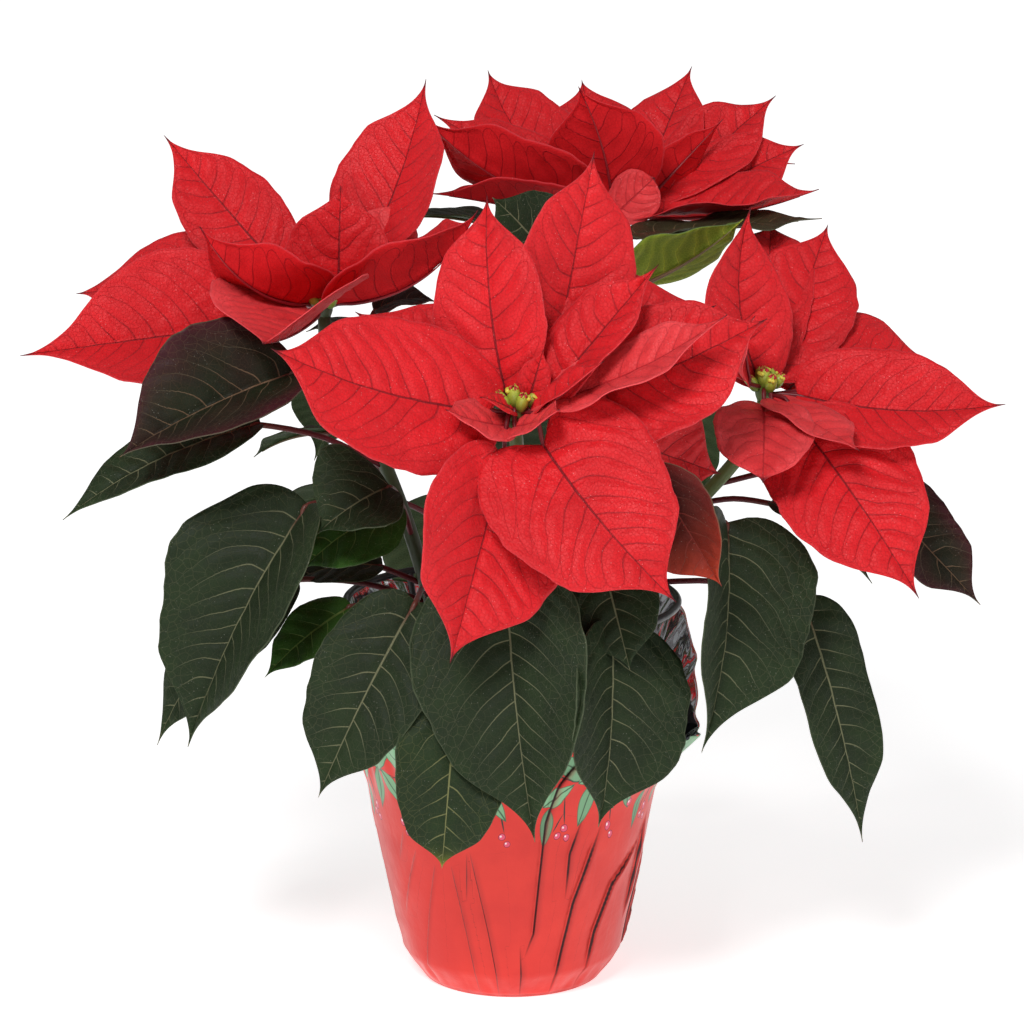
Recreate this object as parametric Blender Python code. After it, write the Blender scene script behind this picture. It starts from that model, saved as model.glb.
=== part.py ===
"""A poinsettia in bloom, in a plastic pot inside a pleated foil cover.

Sizes and places in the tables are millimetres. The pot stands on z = 0 with its
axis on z. Minus Y is the front, plus X the right. A bearing is in degrees from the
front, growing towards the right.
"""
import math
from collections import namedtuple

import bmesh
import bpy
from mathutils import Matrix, Vector

MM = 0.001
GAP = 0.3

# Pot
POT_BOTTOM_R = 44.3
POT_HEEL_R = 54.0
POT_HEEL_H = 15.0
POT_SLOPE = 0.195
POT_WALL = 1.3
POT_FLOOR = 1.6
POT_HEIGHT = 151.0
LIP_R = 82.5
LIP_BAND = 12.0
DRAIN_R = 5.0
DRAIN_RING_R = 28.0
DRAIN_HOLES = 6
POT_SIDES = 28
DRAIN_SIDES = 10
SHOULDER = 2.0
LIP_TAPER = 0.8
LIP_WALL = 1.6
BAND_WALL = 2.2

# Soil
SOIL_TOP = 136.0
SOIL_CROWN = 2.0
HOLE_BOTTOM = 117.0
HOLE_MARGIN = 8.0
SOIL_KNEE_R = 50.0
SOIL_EASE = 0.2

# Foil cover
FOIL = 0.8
COVER_BASE_R = 46.5
COVER_CREASE_R = 57.0
COVER_CREASE_Z = 15.0
COVER_SLOPE = 0.202
PLEATS = 20
STEPS_PER_PLEAT = 3
PLEAT_DEPTH = 1.1
PLEAT_SLANT = 0.06
PLEAT_FIRST = 0.3
PLEAT_GROWTH = 1.4
COLLAR_FROM = 100.0
FLARE_POWER = 1.5
COVER_STATIONS = (0, 0.5, 0.68, 0.84, 1)
# Bearing, height and radius of the collar's edge round the pot
COLLAR_EDGE = (
    (20, 172, 97),
    (62, 137, 99),
    (92, 127, 97),
    (135, 186, 114),
    (180, 172, 109),
    (225, 190, 112),
    (270, 119, 79),
    (308, 138, 85),
    (350, 158, 93),
)

# Support ring
RING_R = 85.0
RING_Z = 198.0
RING_ROD_R = 2.0
RING_LEG_BEARINGS = (40, 130, 220, 310)
RING_LEG_FOOT_R = 64.0
RING_LEG_FOOT_Z = 118.0
RING_LEG_R = 1.8
RING_STEPS = 28
ROD_SIDES = 6

# Blades
BLADE = 0.8
WIDE = 48
BRACT_STALK_R = 1.3
LEAF_STALK_R = 1.5
STALK_BOW = 0.06
SHORT_STALK = 30.0
STALK_ELBOW = 0.7
STALK_SIDES = 3
STALK_REACH = 0.04
STALK_SINK = 2.4
COLUMNS = 2
ROWS = (0.08, 0.32, 0.62, 0.85)
WIDE_ROWS = (0.06, 0.22, 0.42, 0.64, 0.84)
BASE_ROUND = 2.2
BASE_POWER = 0.6
WAVES = 1.4
WAVE_SHIFT = 0.3
STEM_R = 4.0
STEM_TOP_R = 3.3
STEM_NECK = 8.0
CORE_R = 4.6
CORE_DOWN = 6.0
CORE_UP = 4.6
STALK_CLIMB = 0.35
STEM_SIDES = 6
STEM_STEPS = 2
CORE_SIDES = 8

# A bract grows from its bloom's core and a leaf from its stem at the height root_z.
# tip and joint are places, lean turns the upper face towards the front and side
# towards the right, fold raises both halves, arch bows the midrib up and bend bows it
# to the left as seen along it. peak is the share of the length where a blade is widest,
# taper how far its tip is drawn in, and drop lowers a bract's foot.
Bract = namedtuple("Bract", "tip width lean side arch fold bend peak taper stalk drop tier wave",
                   defaults=(0, 0, 0, 0, 0.38, 1.5, 14, 0, 0, 1.5))
Leaf = namedtuple("Leaf", "root_z joint tip width lean side arch fold bend peak taper wave",
                  defaults=(0, 0, 0, 0, 0.36, 1.3, 2.0))

STEMS = {
    "front": ((6, -22, 117.3), (6, -24, 160), (5, -50, 235), (3, -84, 283)),
    "left": ((-34, 4, 117.3), (-36, 4, 165), (-52, -4, 235), (-80, -9, 309)),
    "back": ((22, 32, 117.3), (24, 34, 170), (40, 55, 255), (55, 82, 345)),
    "right": ((38, -8, 117.3), (41, -8, 160), (72, -16, 225), (112, -20, 274)),
    "rear": ((-16, 40, 117.3), (-18, 44, 170), (-28, 62, 235), (-36, 78, 272)),
}
REAR_SHOOT_TIP = (-38, 84, 300)
BLOOM_CENTRES = {
    "front": (2, -95, 315),
    "left": (-94, -10, 352),
    "back": (58, 88, 386),
    "right": (126, -20, 311),
}

BRACTS = {
    "front": (
        Bract((-113, -125, 349), 78, 56, arch=-2, fold=7, bend=5, taper=1.3, stalk=13, tier=-2),
        Bract((-29, -150, 203), 84, 70, side=28, fold=20, stalk=12, drop=16, tier=-3),
        Bract((77, -152, 233), 90, 66, side=4, arch=6, fold=5, bend=-4, peak=0.26, taper=1.35,
              stalk=16, drop=15, tier=-2),
        Bract((122, -92, 358), 76, 46, arch=-3, fold=10, bend=-2, stalk=22, tier=-2),
        Bract((101, -118, 364), 40, 30, arch=-6, fold=20, stalk=16, tier=1),
        Bract((70, -84, 383), 42, 62, side=-34, fold=24, stalk=14),
        Bract((40, -56, 434), 64, 72, side=32, arch=-3, fold=16, bend=-1, peak=0.5, stalk=14,
              tier=-1),
        Bract((-12, -68, 414), 56, 74, side=-28, arch=3, fold=14, bend=3, peak=0.45, stalk=16,
              tier=-1),
        Bract((19, -82, 345), 15, 60, fold=12, stalk=9, tier=1, wave=0.5),
        Bract((-30, -125, 321), 20, 30, arch=-2, fold=16, stalk=9, drop=9, wave=0.5),
        Bract((-16, -114, 324), 8, 20, arch=1, fold=10, stalk=8, drop=3, tier=1, wave=0.3),
        Bract((22, -130, 321), 18, 30, arch=-2, fold=16, stalk=9, drop=9, wave=0.5),
        Bract((43, -119, 342), 18, 30, fold=24, stalk=9, drop=4, wave=0.5),
        Bract((-76, -70, 358), 66, 46, arch=4, fold=6, stalk=18, tier=-4),
        Bract((100, -50, 352), 84, 60, arch=9, fold=5, stalk=28, tier=-4),
        Bract((93, -42, 272), 60, 72, arch=4, fold=5, stalk=18, tier=-4),
    ),
    "left": (
        Bract((-246, -20, 328), 86, 52, fold=25, peak=0.4, taper=2, stalk=26, drop=4, tier=-3),
        Bract((-224, 36, 351), 70, 50, arch=8, fold=6, stalk=26, tier=-3),
        Bract((-177, 32, 433), 48, 60, arch=-3, fold=8, peak=0.42, taper=1.8, stalk=16, drop=-4),
        Bract((-44, 46, 460), 68, 74, side=-30, arch=-2, fold=20, bend=-3, peak=0.3, taper=2,
              stalk=30, drop=-14, tier=-1),
        Bract((-86, 8, 410), 56, 62, arch=3, fold=8, peak=0.34, stalk=11),
        Bract((-152, -50, 397), 58, -35, arch=-13, fold=22, peak=0.3, stalk=10),
        Bract((-17, -42, 404), 60, -15, arch=-12, fold=36, peak=0.45, stalk=12),
        Bract((-120, -86, 345), 98, 18, side=-12, arch=-3, fold=33, peak=0.44, stalk=8, drop=4, tier=1),
        Bract((-58, 26, 402), 36, 40, arch=6, fold=10, stalk=20, tier=-2),
        Bract((-150, 90, 368), 64, -20, arch=8, fold=6, stalk=22, tier=-3),
        Bract((-88, 96, 372), 58, -30, arch=8, fold=6, stalk=20, tier=-4),
    ),
    "back": (
        Bract((-46, 60, 440), 60, -44, arch=-14, fold=24, stalk=16, tier=1),
        Bract((-41, 96, 437), 44, 40, arch=2, fold=8, stalk=18, tier=-2),
        Bract((-43, 44, 402), 54, -10, arch=2, fold=28, stalk=14, drop=3, tier=-4),
        Bract((-13, 150, 456), 60, 52, side=16, arch=-3, fold=14, bend=9, stalk=18, tier=-1),
        Bract((34, 62, 455), 64, -60, arch=-3, fold=5, bend=4, peak=0.44, taper=1.8, stalk=8, tier=1),
        Bract((97, 150, 458), 44, 60, side=-20, fold=8, stalk=14),
        Bract((38, 172, 449), 56, 46, arch=-3, fold=8, stalk=18, tier=-2),
        Bract((141, 130, 444), 46, 36, arch=-2, fold=14, stalk=16, tier=2),
        Bract((155, 112, 420), 44, 44, fold=12, stalk=20, tier=-2),
        Bract((159, 62, 402), 60, 6, arch=-5, fold=28, stalk=16, tier=-2),
        Bract((75, 64, 408), 24, 30, arch=-2, fold=16, stalk=9, tier=1, wave=0.5),
        Bract((111, 102, 434), 26, -50, fold=10, stalk=10, tier=1, wave=0.5),
        Bract((96, 206, 398), 60, -40, arch=9, fold=6, stalk=22, tier=-3),
        Bract((156, 180, 402), 56, -30, side=20, arch=8, fold=6, stalk=22, tier=-4),
        Bract((2, 184, 396), 56, -40, side=-10, arch=9, fold=6, stalk=30, tier=-4),
    ),
    "right": (
        Bract((120, 2, 400), 52, 78, side=26, arch=3, fold=18, bend=11, peak=0.36, taper=1.7, stalk=9),
        Bract((163, 48, 386), 54, 66, arch=-2, fold=8, taper=1.8, stalk=14, tier=-1),
        Bract((137, 58, 376), 46, 60, arch=3, fold=8, stalk=16, tier=-3),
        Bract((208, 20, 322), 64, 46, arch=6, fold=6, peak=0.45, stalk=24, tier=-3),
        Bract((243, -50, 309), 64, 50, arch=-1, fold=20, bend=-6, stalk=17, tier=-2),
        Bract((198, -90, 220), 76, 66, side=8, arch=7, fold=5, stalk=20, drop=4, tier=-3),
        Bract((168, -88, 293), 34, 40, side=20, fold=10, stalk=7, drop=4, tier=1),
        Bract((121, -92, 278), 50, 52, arch=5, fold=8, peak=0.5, taper=1, stalk=10, drop=5),
        Bract((126, -44, 352), 28, 40, side=-50, arch=2, fold=16, bend=6, stalk=13, tier=1, wave=0.8),
        Bract((196, 68, 316), 58, -20, side=20, arch=8, fold=6, stalk=22, tier=-4),
        Bract((130, 72, 310), 54, -40, arch=7, fold=6, stalk=20, tier=-4),
    ),
}

LEAVES = {
    "front": (
        Leaf(200, (66, -106, 288), (100, -120, 233), 52, 66, side=-36, fold=26),
        Leaf(218, (-3, -92, 240), (11, -128, 108), 96, 84, side=-22, arch=6, fold=20, peak=0.33),
        Leaf(178, (-27, -102, 176), (-34, -122, 93), 54, 86, arch=4, fold=5, peak=0.46, taper=1),
        Leaf(196, (48, -96, 208), (42, -122, 114), 80, 84, side=36, arch=5, fold=24),
        Leaf(226, (44, -86, 238), (57, -110, 189), 46, 80, arch=4, fold=6, wave=0.8),
    ),
    "left": (
        Leaf(290, (-105, -50, 325), (-190, -84, 289), 78, 42, arch=3, fold=32, bend=-2),
        Leaf(268, (-125, -34, 296), (-222, -56, 252), 40, 28, arch=8, fold=12),
        Leaf(262, (-92, 22, 282), (-134, 34, 266), 34, -10, arch=4, fold=8, wave=1),
        Leaf(246, (-101, -48, 258), (-161, -72, 140), 90, 68, side=-34, arch=8, fold=30, peak=0.34),
        Leaf(196, (-111, -14, 212), (-181, -26, 128), 46, 50, side=-20, arch=7, fold=5, bend=-6),
        Leaf(240, (-60, -58, 269), (-95, -74, 249), 62, 56, side=-20, arch=4, fold=26),
        Leaf(232, (-56, -36, 256), (-105, -46, 224), 46, 50, side=-10, arch=6, fold=6),
        Leaf(206, (-66, -2, 216), (-112, -4, 208), 36, 20, arch=5, fold=6, wave=1),
        Leaf(188, (-80, -42, 205), (-123, -62, 173), 30, 50, side=-10, arch=5, fold=6),
        Leaf(200, (-47, -84, 217), (-95, -100, 122), 60, 80, side=-16, arch=7, fold=10),
        Leaf(312, (-70, 8, 346), (-38, 14, 350), 32, 10, arch=4, fold=8, wave=1),
    ),
    "right": (
        Leaf(262, (176, -12, 268), (236, -32, 203), 50, 44, side=16, arch=5, fold=10, bend=-5),
        Leaf(252, (130, -24, 254), (180, -44, 217), 30, 20, side=30, arch=5, fold=6, wave=1),
        Leaf(236, (106, -54, 250), (93, -96, 144), 92, 66, side=42, arch=8, fold=30, peak=0.28,
             taper=1.5),
        Leaf(210, (147, -26, 204), (178, -44, 82), 46, 64, side=24, arch=9, fold=12, bend=-2,
             peak=0.28),
    ),
    "back": (
        Leaf(328, (62, 44, 354), (117, 18, 388), 54, -30, side=-10, arch=-4, fold=10),
        Leaf(336, (90, 58, 362), (160, 52, 388), 46, 0, arch=3, fold=8),
        Leaf(326, (30, 48, 360), (-12, 22, 392), 52, 10, arch=4, fold=6),
        Leaf(334, (8, 84, 374), (-61, 68, 386), 50, 0, arch=5, fold=6),
        Leaf(290, (96, 104, 320), (190, 140, 262), 70, -40, side=50, arch=14, fold=6),
        Leaf(262, (74, 118, 290), (112, 190, 196), 72, -70, side=10, arch=14, fold=6),
    ),
    "rear": (
        Leaf(262, (-60, 128, 300), (-112, 196, 232), 74, -60, side=-20, arch=14, fold=6),
        Leaf(246, (-2, 128, 276), (14, 206, 184), 72, -70, arch=13, fold=6),
        Leaf(220, (-92, 86, 240), (-158, 122, 150), 68, -50, side=-40, arch=12, fold=6),
        Leaf(200, (-30, 124, 224), (-52, 176, 124), 66, -76, arch=9, fold=5),
        Leaf(190, (40, 112, 214), (66, 158, 110), 62, -76, arch=9, fold=5),
        Leaf(276, (-46, 98, 312), (-20, 150, 332), 34, -20, arch=6, fold=8, wave=1),
        Leaf(280, (-66, 84, 318), (-108, 70, 326), 34, 0, arch=6, fold=8, wave=1),
    ),
}

CUPS = 5
CUP_TILT = 26.0
CUP_OUT = 3.1
CUP_BASE = 2.6
CUP_TURN = 20.0
CUP_FOOT = 0.6
MIDDLE_FOOT = 2.4
CUP_SIDES = 5
CUSHION = (3.0, 3.6)
CUP_PROFILE = ((1.2, 0), (2.5, 3.4), (1.7, 6.8))

COLOURS = {
    "foil": (0.80, 0.09, 0.07, 0.4, 0.3),
    "black_plastic": (0.015, 0.016, 0.018, 0.4, 0.0),
    "soil": (0.06, 0.035, 0.02, 0.95, 0.0),
    "bract": (0.72, 0.015, 0.03, 0.5, 0.0),
    "leaf": (0.03, 0.08, 0.03, 0.45, 0.0),
    "cup": (0.45, 0.50, 0.06, 0.5, 0.0),
}


def clear_scene():
    for thing in list(bpy.data.objects):
        bpy.data.objects.remove(thing, do_unlink=True)


def material(name):
    red, green, blue, rough, metal = COLOURS[name]
    finish = bpy.data.materials.get(name) or bpy.data.materials.new(name)
    finish.use_nodes = True
    shader = finish.node_tree.nodes["Principled BSDF"]
    shader.inputs["Base Color"].default_value = (red, green, blue, 1)
    shader.inputs["Roughness"].default_value = rough
    shader.inputs["Metallic"].default_value = metal
    return finish


def add_object(name, bm, finish=None):
    """An object from a bmesh worked out in millimetres."""
    bmesh.ops.scale(bm, vec=(MM, MM, MM), verts=bm.verts)
    bm.normal_update()
    mesh = bpy.data.meshes.new(name)
    bm.to_mesh(mesh)
    bm.free()
    thing = bpy.data.objects.new(name, mesh)
    bpy.context.scene.collection.objects.link(thing)
    if finish:
        mesh.materials.append(material(finish))
    return thing


def toward(bearing, radius, height=0.0):
    """The place at a bearing from the front, a distance out and a height up."""
    turn = math.radians(bearing)
    return Vector((math.sin(turn) * radius, -math.cos(turn) * radius, height))


def round_loop(knots, bearing):
    """A smooth value round the pot through (bearing, value) knots."""
    count = len(knots)
    for index, (start, value) in enumerate(knots):
        after, after_value = knots[(index + 1) % count]
        span = (after - start) % 360
        step = (bearing - start) % 360
        if step < span:
            share = step / span
            ease = share * share * (3 - 2 * share)
            return value + (after_value - value) * ease
    return knots[0][1]


def smooth_path(points, steps):
    """A Catmull-Rom curve through the points."""
    places = [Vector(point) for point in points]
    places = [2 * places[0] - places[1]] + places + [2 * places[-1] - places[-2]]
    path = []
    for before, start, end, after in zip(places, places[1:], places[2:], places[3:]):
        for step in range(steps):
            t = step / steps
            path.append(0.5 * (2 * start + (end - before) * t
                               + (2 * before - 5 * start + 4 * end - after) * t * t
                               + (3 * start - before - 3 * end + after) * t ** 3))
    return path + [places[-2]]


def sweep(bm, path, radii, sides):
    """A rod along a path, grown from a disc by extruding its end face."""
    start = Matrix.Translation(path[0])
    heading = (path[1] - path[0]).normalized()
    turn = Vector((0, 0, 1)).rotation_difference(heading)
    start = start @ turn.to_matrix().to_4x4()
    known = set(bm.faces)
    bmesh.ops.create_circle(bm, cap_ends=True, segments=sides, radius=radii[0], matrix=start)
    face = next(face for face in bm.faces if face not in known)
    for index in range(1, len(path)):
        last = index == len(path) - 1
        ahead = path[index] - path[index - 1] if last else path[index + 1] - path[index - 1]
        bend = heading.rotation_difference(ahead.normalized())
        heading = ahead.normalized()
        grown = bmesh.ops.extrude_face_region(bm, geom=[face])["geom"]
        corners = [part for part in grown if isinstance(part, bmesh.types.BMVert)]
        if index > 1:
            bmesh.ops.delete(bm, geom=[face], context="FACES_ONLY")
        face = next(part for part in grown if isinstance(part, bmesh.types.BMFace))
        bmesh.ops.translate(bm, vec=path[index] - path[index - 1], verts=corners)
        bmesh.ops.rotate(bm, cent=path[index], matrix=bend.to_matrix(), verts=corners)
        size = radii[index] / radii[index - 1]
        here = Matrix.Translation(path[index])
        bmesh.ops.transform(bm, matrix=here @ Matrix.Scale(size, 4) @ here.inverted(),
                            verts=corners)
    bmesh.ops.recalc_face_normals(bm, faces=bm.faces)


def turned(name, profile, sides, finish):
    """A closed profile of (radius, height) points spun round the axis."""
    bm = bmesh.new()
    corners = [bm.verts.new((radius, 0, height)) for radius, height in profile]
    edges = [bm.edges.new(pair) for pair in zip(corners, corners[1:])]
    if profile[0][0] > 0 and profile[-1][0] > 0:
        edges.append(bm.edges.new((corners[-1], corners[0])))
    bmesh.ops.spin(bm, geom=corners + edges, cent=(0, 0, 0), axis=(0, 0, 1),
                   angle=math.tau, steps=sides, use_merge=True)
    bmesh.ops.remove_doubles(bm, verts=bm.verts, dist=0.001)
    bmesh.ops.recalc_face_normals(bm, faces=bm.faces)
    return add_object(name, bm, finish)


def keep_outer_shell(mesh):
    """Fills a small hollow that the fusing sealed, by deleting its inner shell."""
    bm = bmesh.new()
    bm.from_mesh(mesh)
    unseen = set(bm.verts)
    shells = []
    while unseen:
        shell = []
        border = [unseen.pop()]
        while border:
            corner = border.pop()
            shell.append(corner)
            near = [edge.other_vert(corner) for edge in corner.link_edges]
            fresh = [other for other in near if other in unseen]
            unseen.difference_update(fresh)
            border.extend(fresh)
        shells.append(shell)
    shells.sort(key=len)
    for shell in shells[:-1]:
        bmesh.ops.delete(bm, geom=shell, context="VERTS")
    bm.to_mesh(mesh)
    bm.free()


def combine(target, others, operation, solver):
    """One Boolean of a collection on the target, applied."""
    tools = bpy.data.collections.new(target.name + "_tools")
    bpy.context.scene.collection.children.link(tools)
    for other in others:
        bpy.context.scene.collection.objects.unlink(other)
        tools.objects.link(other)
    joint = target.modifiers.new(operation.lower(), "BOOLEAN")
    joint.operation = operation
    joint.solver = solver
    joint.operand_type = "COLLECTION"
    joint.collection = tools
    bpy.context.view_layer.update()
    shape = target.evaluated_get(bpy.context.evaluated_depsgraph_get())
    finished = bpy.data.meshes.new_from_object(shape)
    keep_outer_shell(finished)
    target.modifiers.clear()
    target.data = finished
    for other in others:
        bpy.data.objects.remove(other, do_unlink=True)
    bpy.data.collections.remove(tools)
    return target


def outline(u, peak, taper):
    """Half width of a blade, from 0 to 1, at the share u of its length."""
    if u < peak:
        return (1 - (1 - u / peak) ** BASE_ROUND) ** BASE_POWER
    far = (u - peak) / (1 - peak)
    return (1 - far) ** taper * (1 + taper * far)


def blade_frame(joint, tip, lean, side):
    """The directions along, across and out of a blade's upper face."""
    along = (tip - joint).normalized()
    lean, side = math.radians(lean), math.radians(side)
    face = Vector((math.sin(side), -math.sin(lean) * math.cos(side),
                   math.cos(lean) * math.cos(side)))
    out = (face - face.dot(along) * along).normalized()
    return along, out.cross(along), out


def blade_point(u, t, joint, tip, frame, blade):
    """The place on a blade at u along its midrib and t across, from -1 to 1."""
    across, out = frame[1], frame[2]
    share = outline(u, blade.peak, blade.taper)
    half = blade.width / 2 * share
    fold = math.radians(blade.fold)
    ripple = blade.wave * math.sin(math.tau * (WAVES * u + WAVE_SHIFT * t)) * t * t * share
    bow = 4 * u * (1 - u)
    place = joint.lerp(tip, u) + out * blade.arch * bow + across * blade.bend * bow
    spread = across * half * t * math.cos(fold)
    return place + spread + out * (half * abs(t) * math.sin(fold) + ripple)


def blade_solid(name, joint, tip, blade):
    """A blade as a grid laid on its curved face, then given its thickness."""
    frame = blade_frame(joint, tip, blade.lean, blade.side)
    stations = (0.0,) + (WIDE_ROWS if blade.width > WIDE else ROWS) + (1.0,)
    bm = bmesh.new()
    bmesh.ops.create_grid(bm, x_segments=len(stations) - 1, y_segments=COLUMNS, size=1.0)
    for corner in bm.verts:
        row = round((corner.co.x + 1) / 2 * (len(stations) - 1))
        corner.co = blade_point(stations[row], corner.co.y, joint, tip, frame, blade)
    bmesh.ops.remove_doubles(bm, verts=bm.verts, dist=0.01)
    bmesh.ops.triangulate(bm, faces=bm.faces, quad_method="FIXED")
    bm.normal_update()
    lower = [corner.normal * -BLADE / 2 for corner in bm.verts]
    upper = list(bm.verts)
    copied = bmesh.ops.duplicate(bm, geom=list(bm.faces))
    twin = copied["vert_map"]
    for corner, drop in zip(upper, lower):
        twin[corner].co += drop
        corner.co -= drop
    under = [part for part in copied["geom"] if isinstance(part, bmesh.types.BMFace)]
    bmesh.ops.reverse_faces(bm, faces=under)
    rim = [edge for edge in bm.edges if edge.is_boundary]
    bmesh.ops.bridge_loops(bm, edges=rim)
    bmesh.ops.triangulate(bm, faces=[face for face in bm.faces if len(face.verts) > 3],
                          quad_method="FIXED")
    bmesh.ops.recalc_face_normals(bm, faces=bm.faces)
    return add_object(name, bm)


def stalk_solid(name, start, joint, tip, radius, blade):
    """A stalk from inside its stem, through a low bow, into the blade's foot."""
    frame = blade_frame(joint, tip, blade.lean, blade.side)
    inside = blade_point(STALK_REACH, 0, joint, tip, frame, blade)
    reach = (joint - start).length
    middle = start.lerp(joint, 0.5) + Vector((0, 0, STALK_BOW * reach))
    path = (start, middle, joint, inside) if reach > SHORT_STALK else (start, joint, inside)
    if getattr(blade, "drop", 0) > 0:
        elbow = start + (joint - start) * Vector((STALK_ELBOW, STALK_ELBOW, 0))
        path = (start, elbow, joint, inside)
    bm = bmesh.new()
    sweep(bm, path, [radius] * (len(path) - 1) + [radius * 0.6], STALK_SIDES)
    return add_object(name, bm)


def bloom(where):
    """The bracts of one bloom, fused to the slim core that they grow from."""
    centre = Vector(BLOOM_CENTRES[where])
    parts = []
    for index, bract in enumerate(BRACTS[where]):
        tip = Vector(bract.tip)
        level = ((tip - centre) * Vector((1, 1, 0))).normalized()
        rise = (tip.z - centre.z) / (tip - centre).length
        middle = centre + Vector((0, 0, bract.tier))
        climb = bract.stalk * STALK_CLIMB * rise - bract.drop
        joint = middle + level * bract.stalk + Vector((0, 0, climb))
        start = middle + level * (CORE_R - STALK_SINK)
        parts.append(blade_solid("blade_%d" % index, joint, tip, bract))
        parts.append(stalk_solid("stalk_%d" % index, start, joint, tip, BRACT_STALK_R, bract))
    low = centre - Vector((0, 0, CORE_DOWN - GAP))
    high = centre + Vector((0, 0, CORE_UP))
    bm = bmesh.new()
    sweep(bm, [low, low.lerp(high, 0.3), low.lerp(high, 0.7), high],
          [STEM_TOP_R, CORE_R, CORE_R, STEM_TOP_R], CORE_SIDES)
    core = add_object("bracts_" + where, bm, "bract")
    return combine(core, parts, "UNION", "MANIFOLD")


def stem_path(where):
    """The stem's line, from its hole in the soil to its flat top."""
    points = list(STEMS[where])
    if where in BLOOM_CENTRES:
        centre = Vector(BLOOM_CENTRES[where])
        neck = centre - Vector((0, 0, CORE_DOWN + STEM_NECK))
        return smooth_path(points + [neck], STEM_STEPS) + [centre - Vector((0, 0, CORE_DOWN))]
    return smooth_path(points + [REAR_SHOOT_TIP], STEM_STEPS)


def on_stem(path, height):
    """The place where a stem's line passes a height."""
    for low, high in zip(path, path[1:]):
        if low.z <= height <= high.z:
            return low.lerp(high, (height - low.z) / (high.z - low.z))
    return path[-1]


def leafy_stem(where):
    """One stem with its leaves and their stalks, fused."""
    path = stem_path(where)
    parts = []
    for index, leaf in enumerate(LEAVES[where]):
        joint, tip = Vector(leaf.joint), Vector(leaf.tip)
        start = on_stem(path, leaf.root_z)
        parts.append(blade_solid("blade_%d" % index, joint, tip, leaf))
        parts.append(stalk_solid("stalk_%d" % index, start, joint, tip, LEAF_STALK_R, leaf))
    count = len(path) - 1
    radii = [STEM_R + (STEM_TOP_R - STEM_R) * index / count for index in range(count + 1)]
    bm = bmesh.new()
    sweep(bm, path, radii, STEM_SIDES)
    stem = add_object("leafy_stem_" + where, bm, "leaf")
    return combine(stem, parts, "UNION", "MANIFOLD")


def cyathia(where):
    """A cluster of small cups on a low base, seated on the core."""
    seat = Vector(BLOOM_CENTRES[where]) + Vector((0, 0, CORE_UP + GAP))
    parts = []
    for index in range(CUPS + 1):
        upright = index == CUPS
        bearing = 360 / CUPS * index + CUP_TURN
        foot = seat + toward(bearing, 0 if upright else CUP_OUT, MIDDLE_FOOT if upright else CUP_FOOT)
        tilt = 0 if upright else math.radians(CUP_TILT)
        axis = toward(bearing, math.sin(tilt), math.cos(tilt))
        bm = bmesh.new()
        path = [foot + axis * height for radius, height in CUP_PROFILE]
        sweep(bm, path, [radius for radius, height in CUP_PROFILE], CUP_SIDES)
        parts.append(add_object("cup_%d" % index, bm))
    bm = bmesh.new()
    sweep(bm, [seat, seat + Vector((0, 0, CUP_BASE))], CUSHION, STEM_SIDES)
    base = add_object("cyathia_" + where, bm, "cup")
    return combine(base, parts, "UNION", "MANIFOLD")


def pot_radius(height):
    """Outer radius of the pot's wall above its heel."""
    return POT_HEEL_R + POT_SLOPE * (height - POT_HEEL_H)


def nursery_pot():
    base = FOIL + GAP
    band = POT_HEIGHT - LIP_BAND
    wall_top = band - SHOULDER
    profile = (
        (0, base),
        (POT_BOTTOM_R, base),
        (POT_HEEL_R, POT_HEEL_H),
        (pot_radius(wall_top), wall_top),
        (LIP_R - LIP_TAPER, band),
        (LIP_R, POT_HEIGHT),
        (LIP_R - LIP_WALL, POT_HEIGHT),
        (LIP_R - LIP_TAPER - BAND_WALL, band),
        (pot_radius(wall_top) - POT_WALL, wall_top - 1),
        (POT_HEEL_R - POT_WALL, POT_HEEL_H + 1),
        (POT_BOTTOM_R - POT_WALL, base + POT_FLOOR),
        (0, base + POT_FLOOR),
    )
    pot = turned("nursery_pot", profile, POT_SIDES, "black_plastic")
    drills = []
    for index in range(DRAIN_HOLES):
        bearing = 360 / DRAIN_HOLES * index
        below = toward(bearing, DRAIN_RING_R, base - POT_FLOOR)
        above = toward(bearing, DRAIN_RING_R, base + 2 * POT_FLOOR)
        bm = bmesh.new()
        sweep(bm, [below, above], [DRAIN_R] * 2, DRAIN_SIDES)
        drills.append(add_object("drill_%d" % index, bm))
    return combine(pot, drills, "DIFFERENCE", "EXACT")


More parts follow.
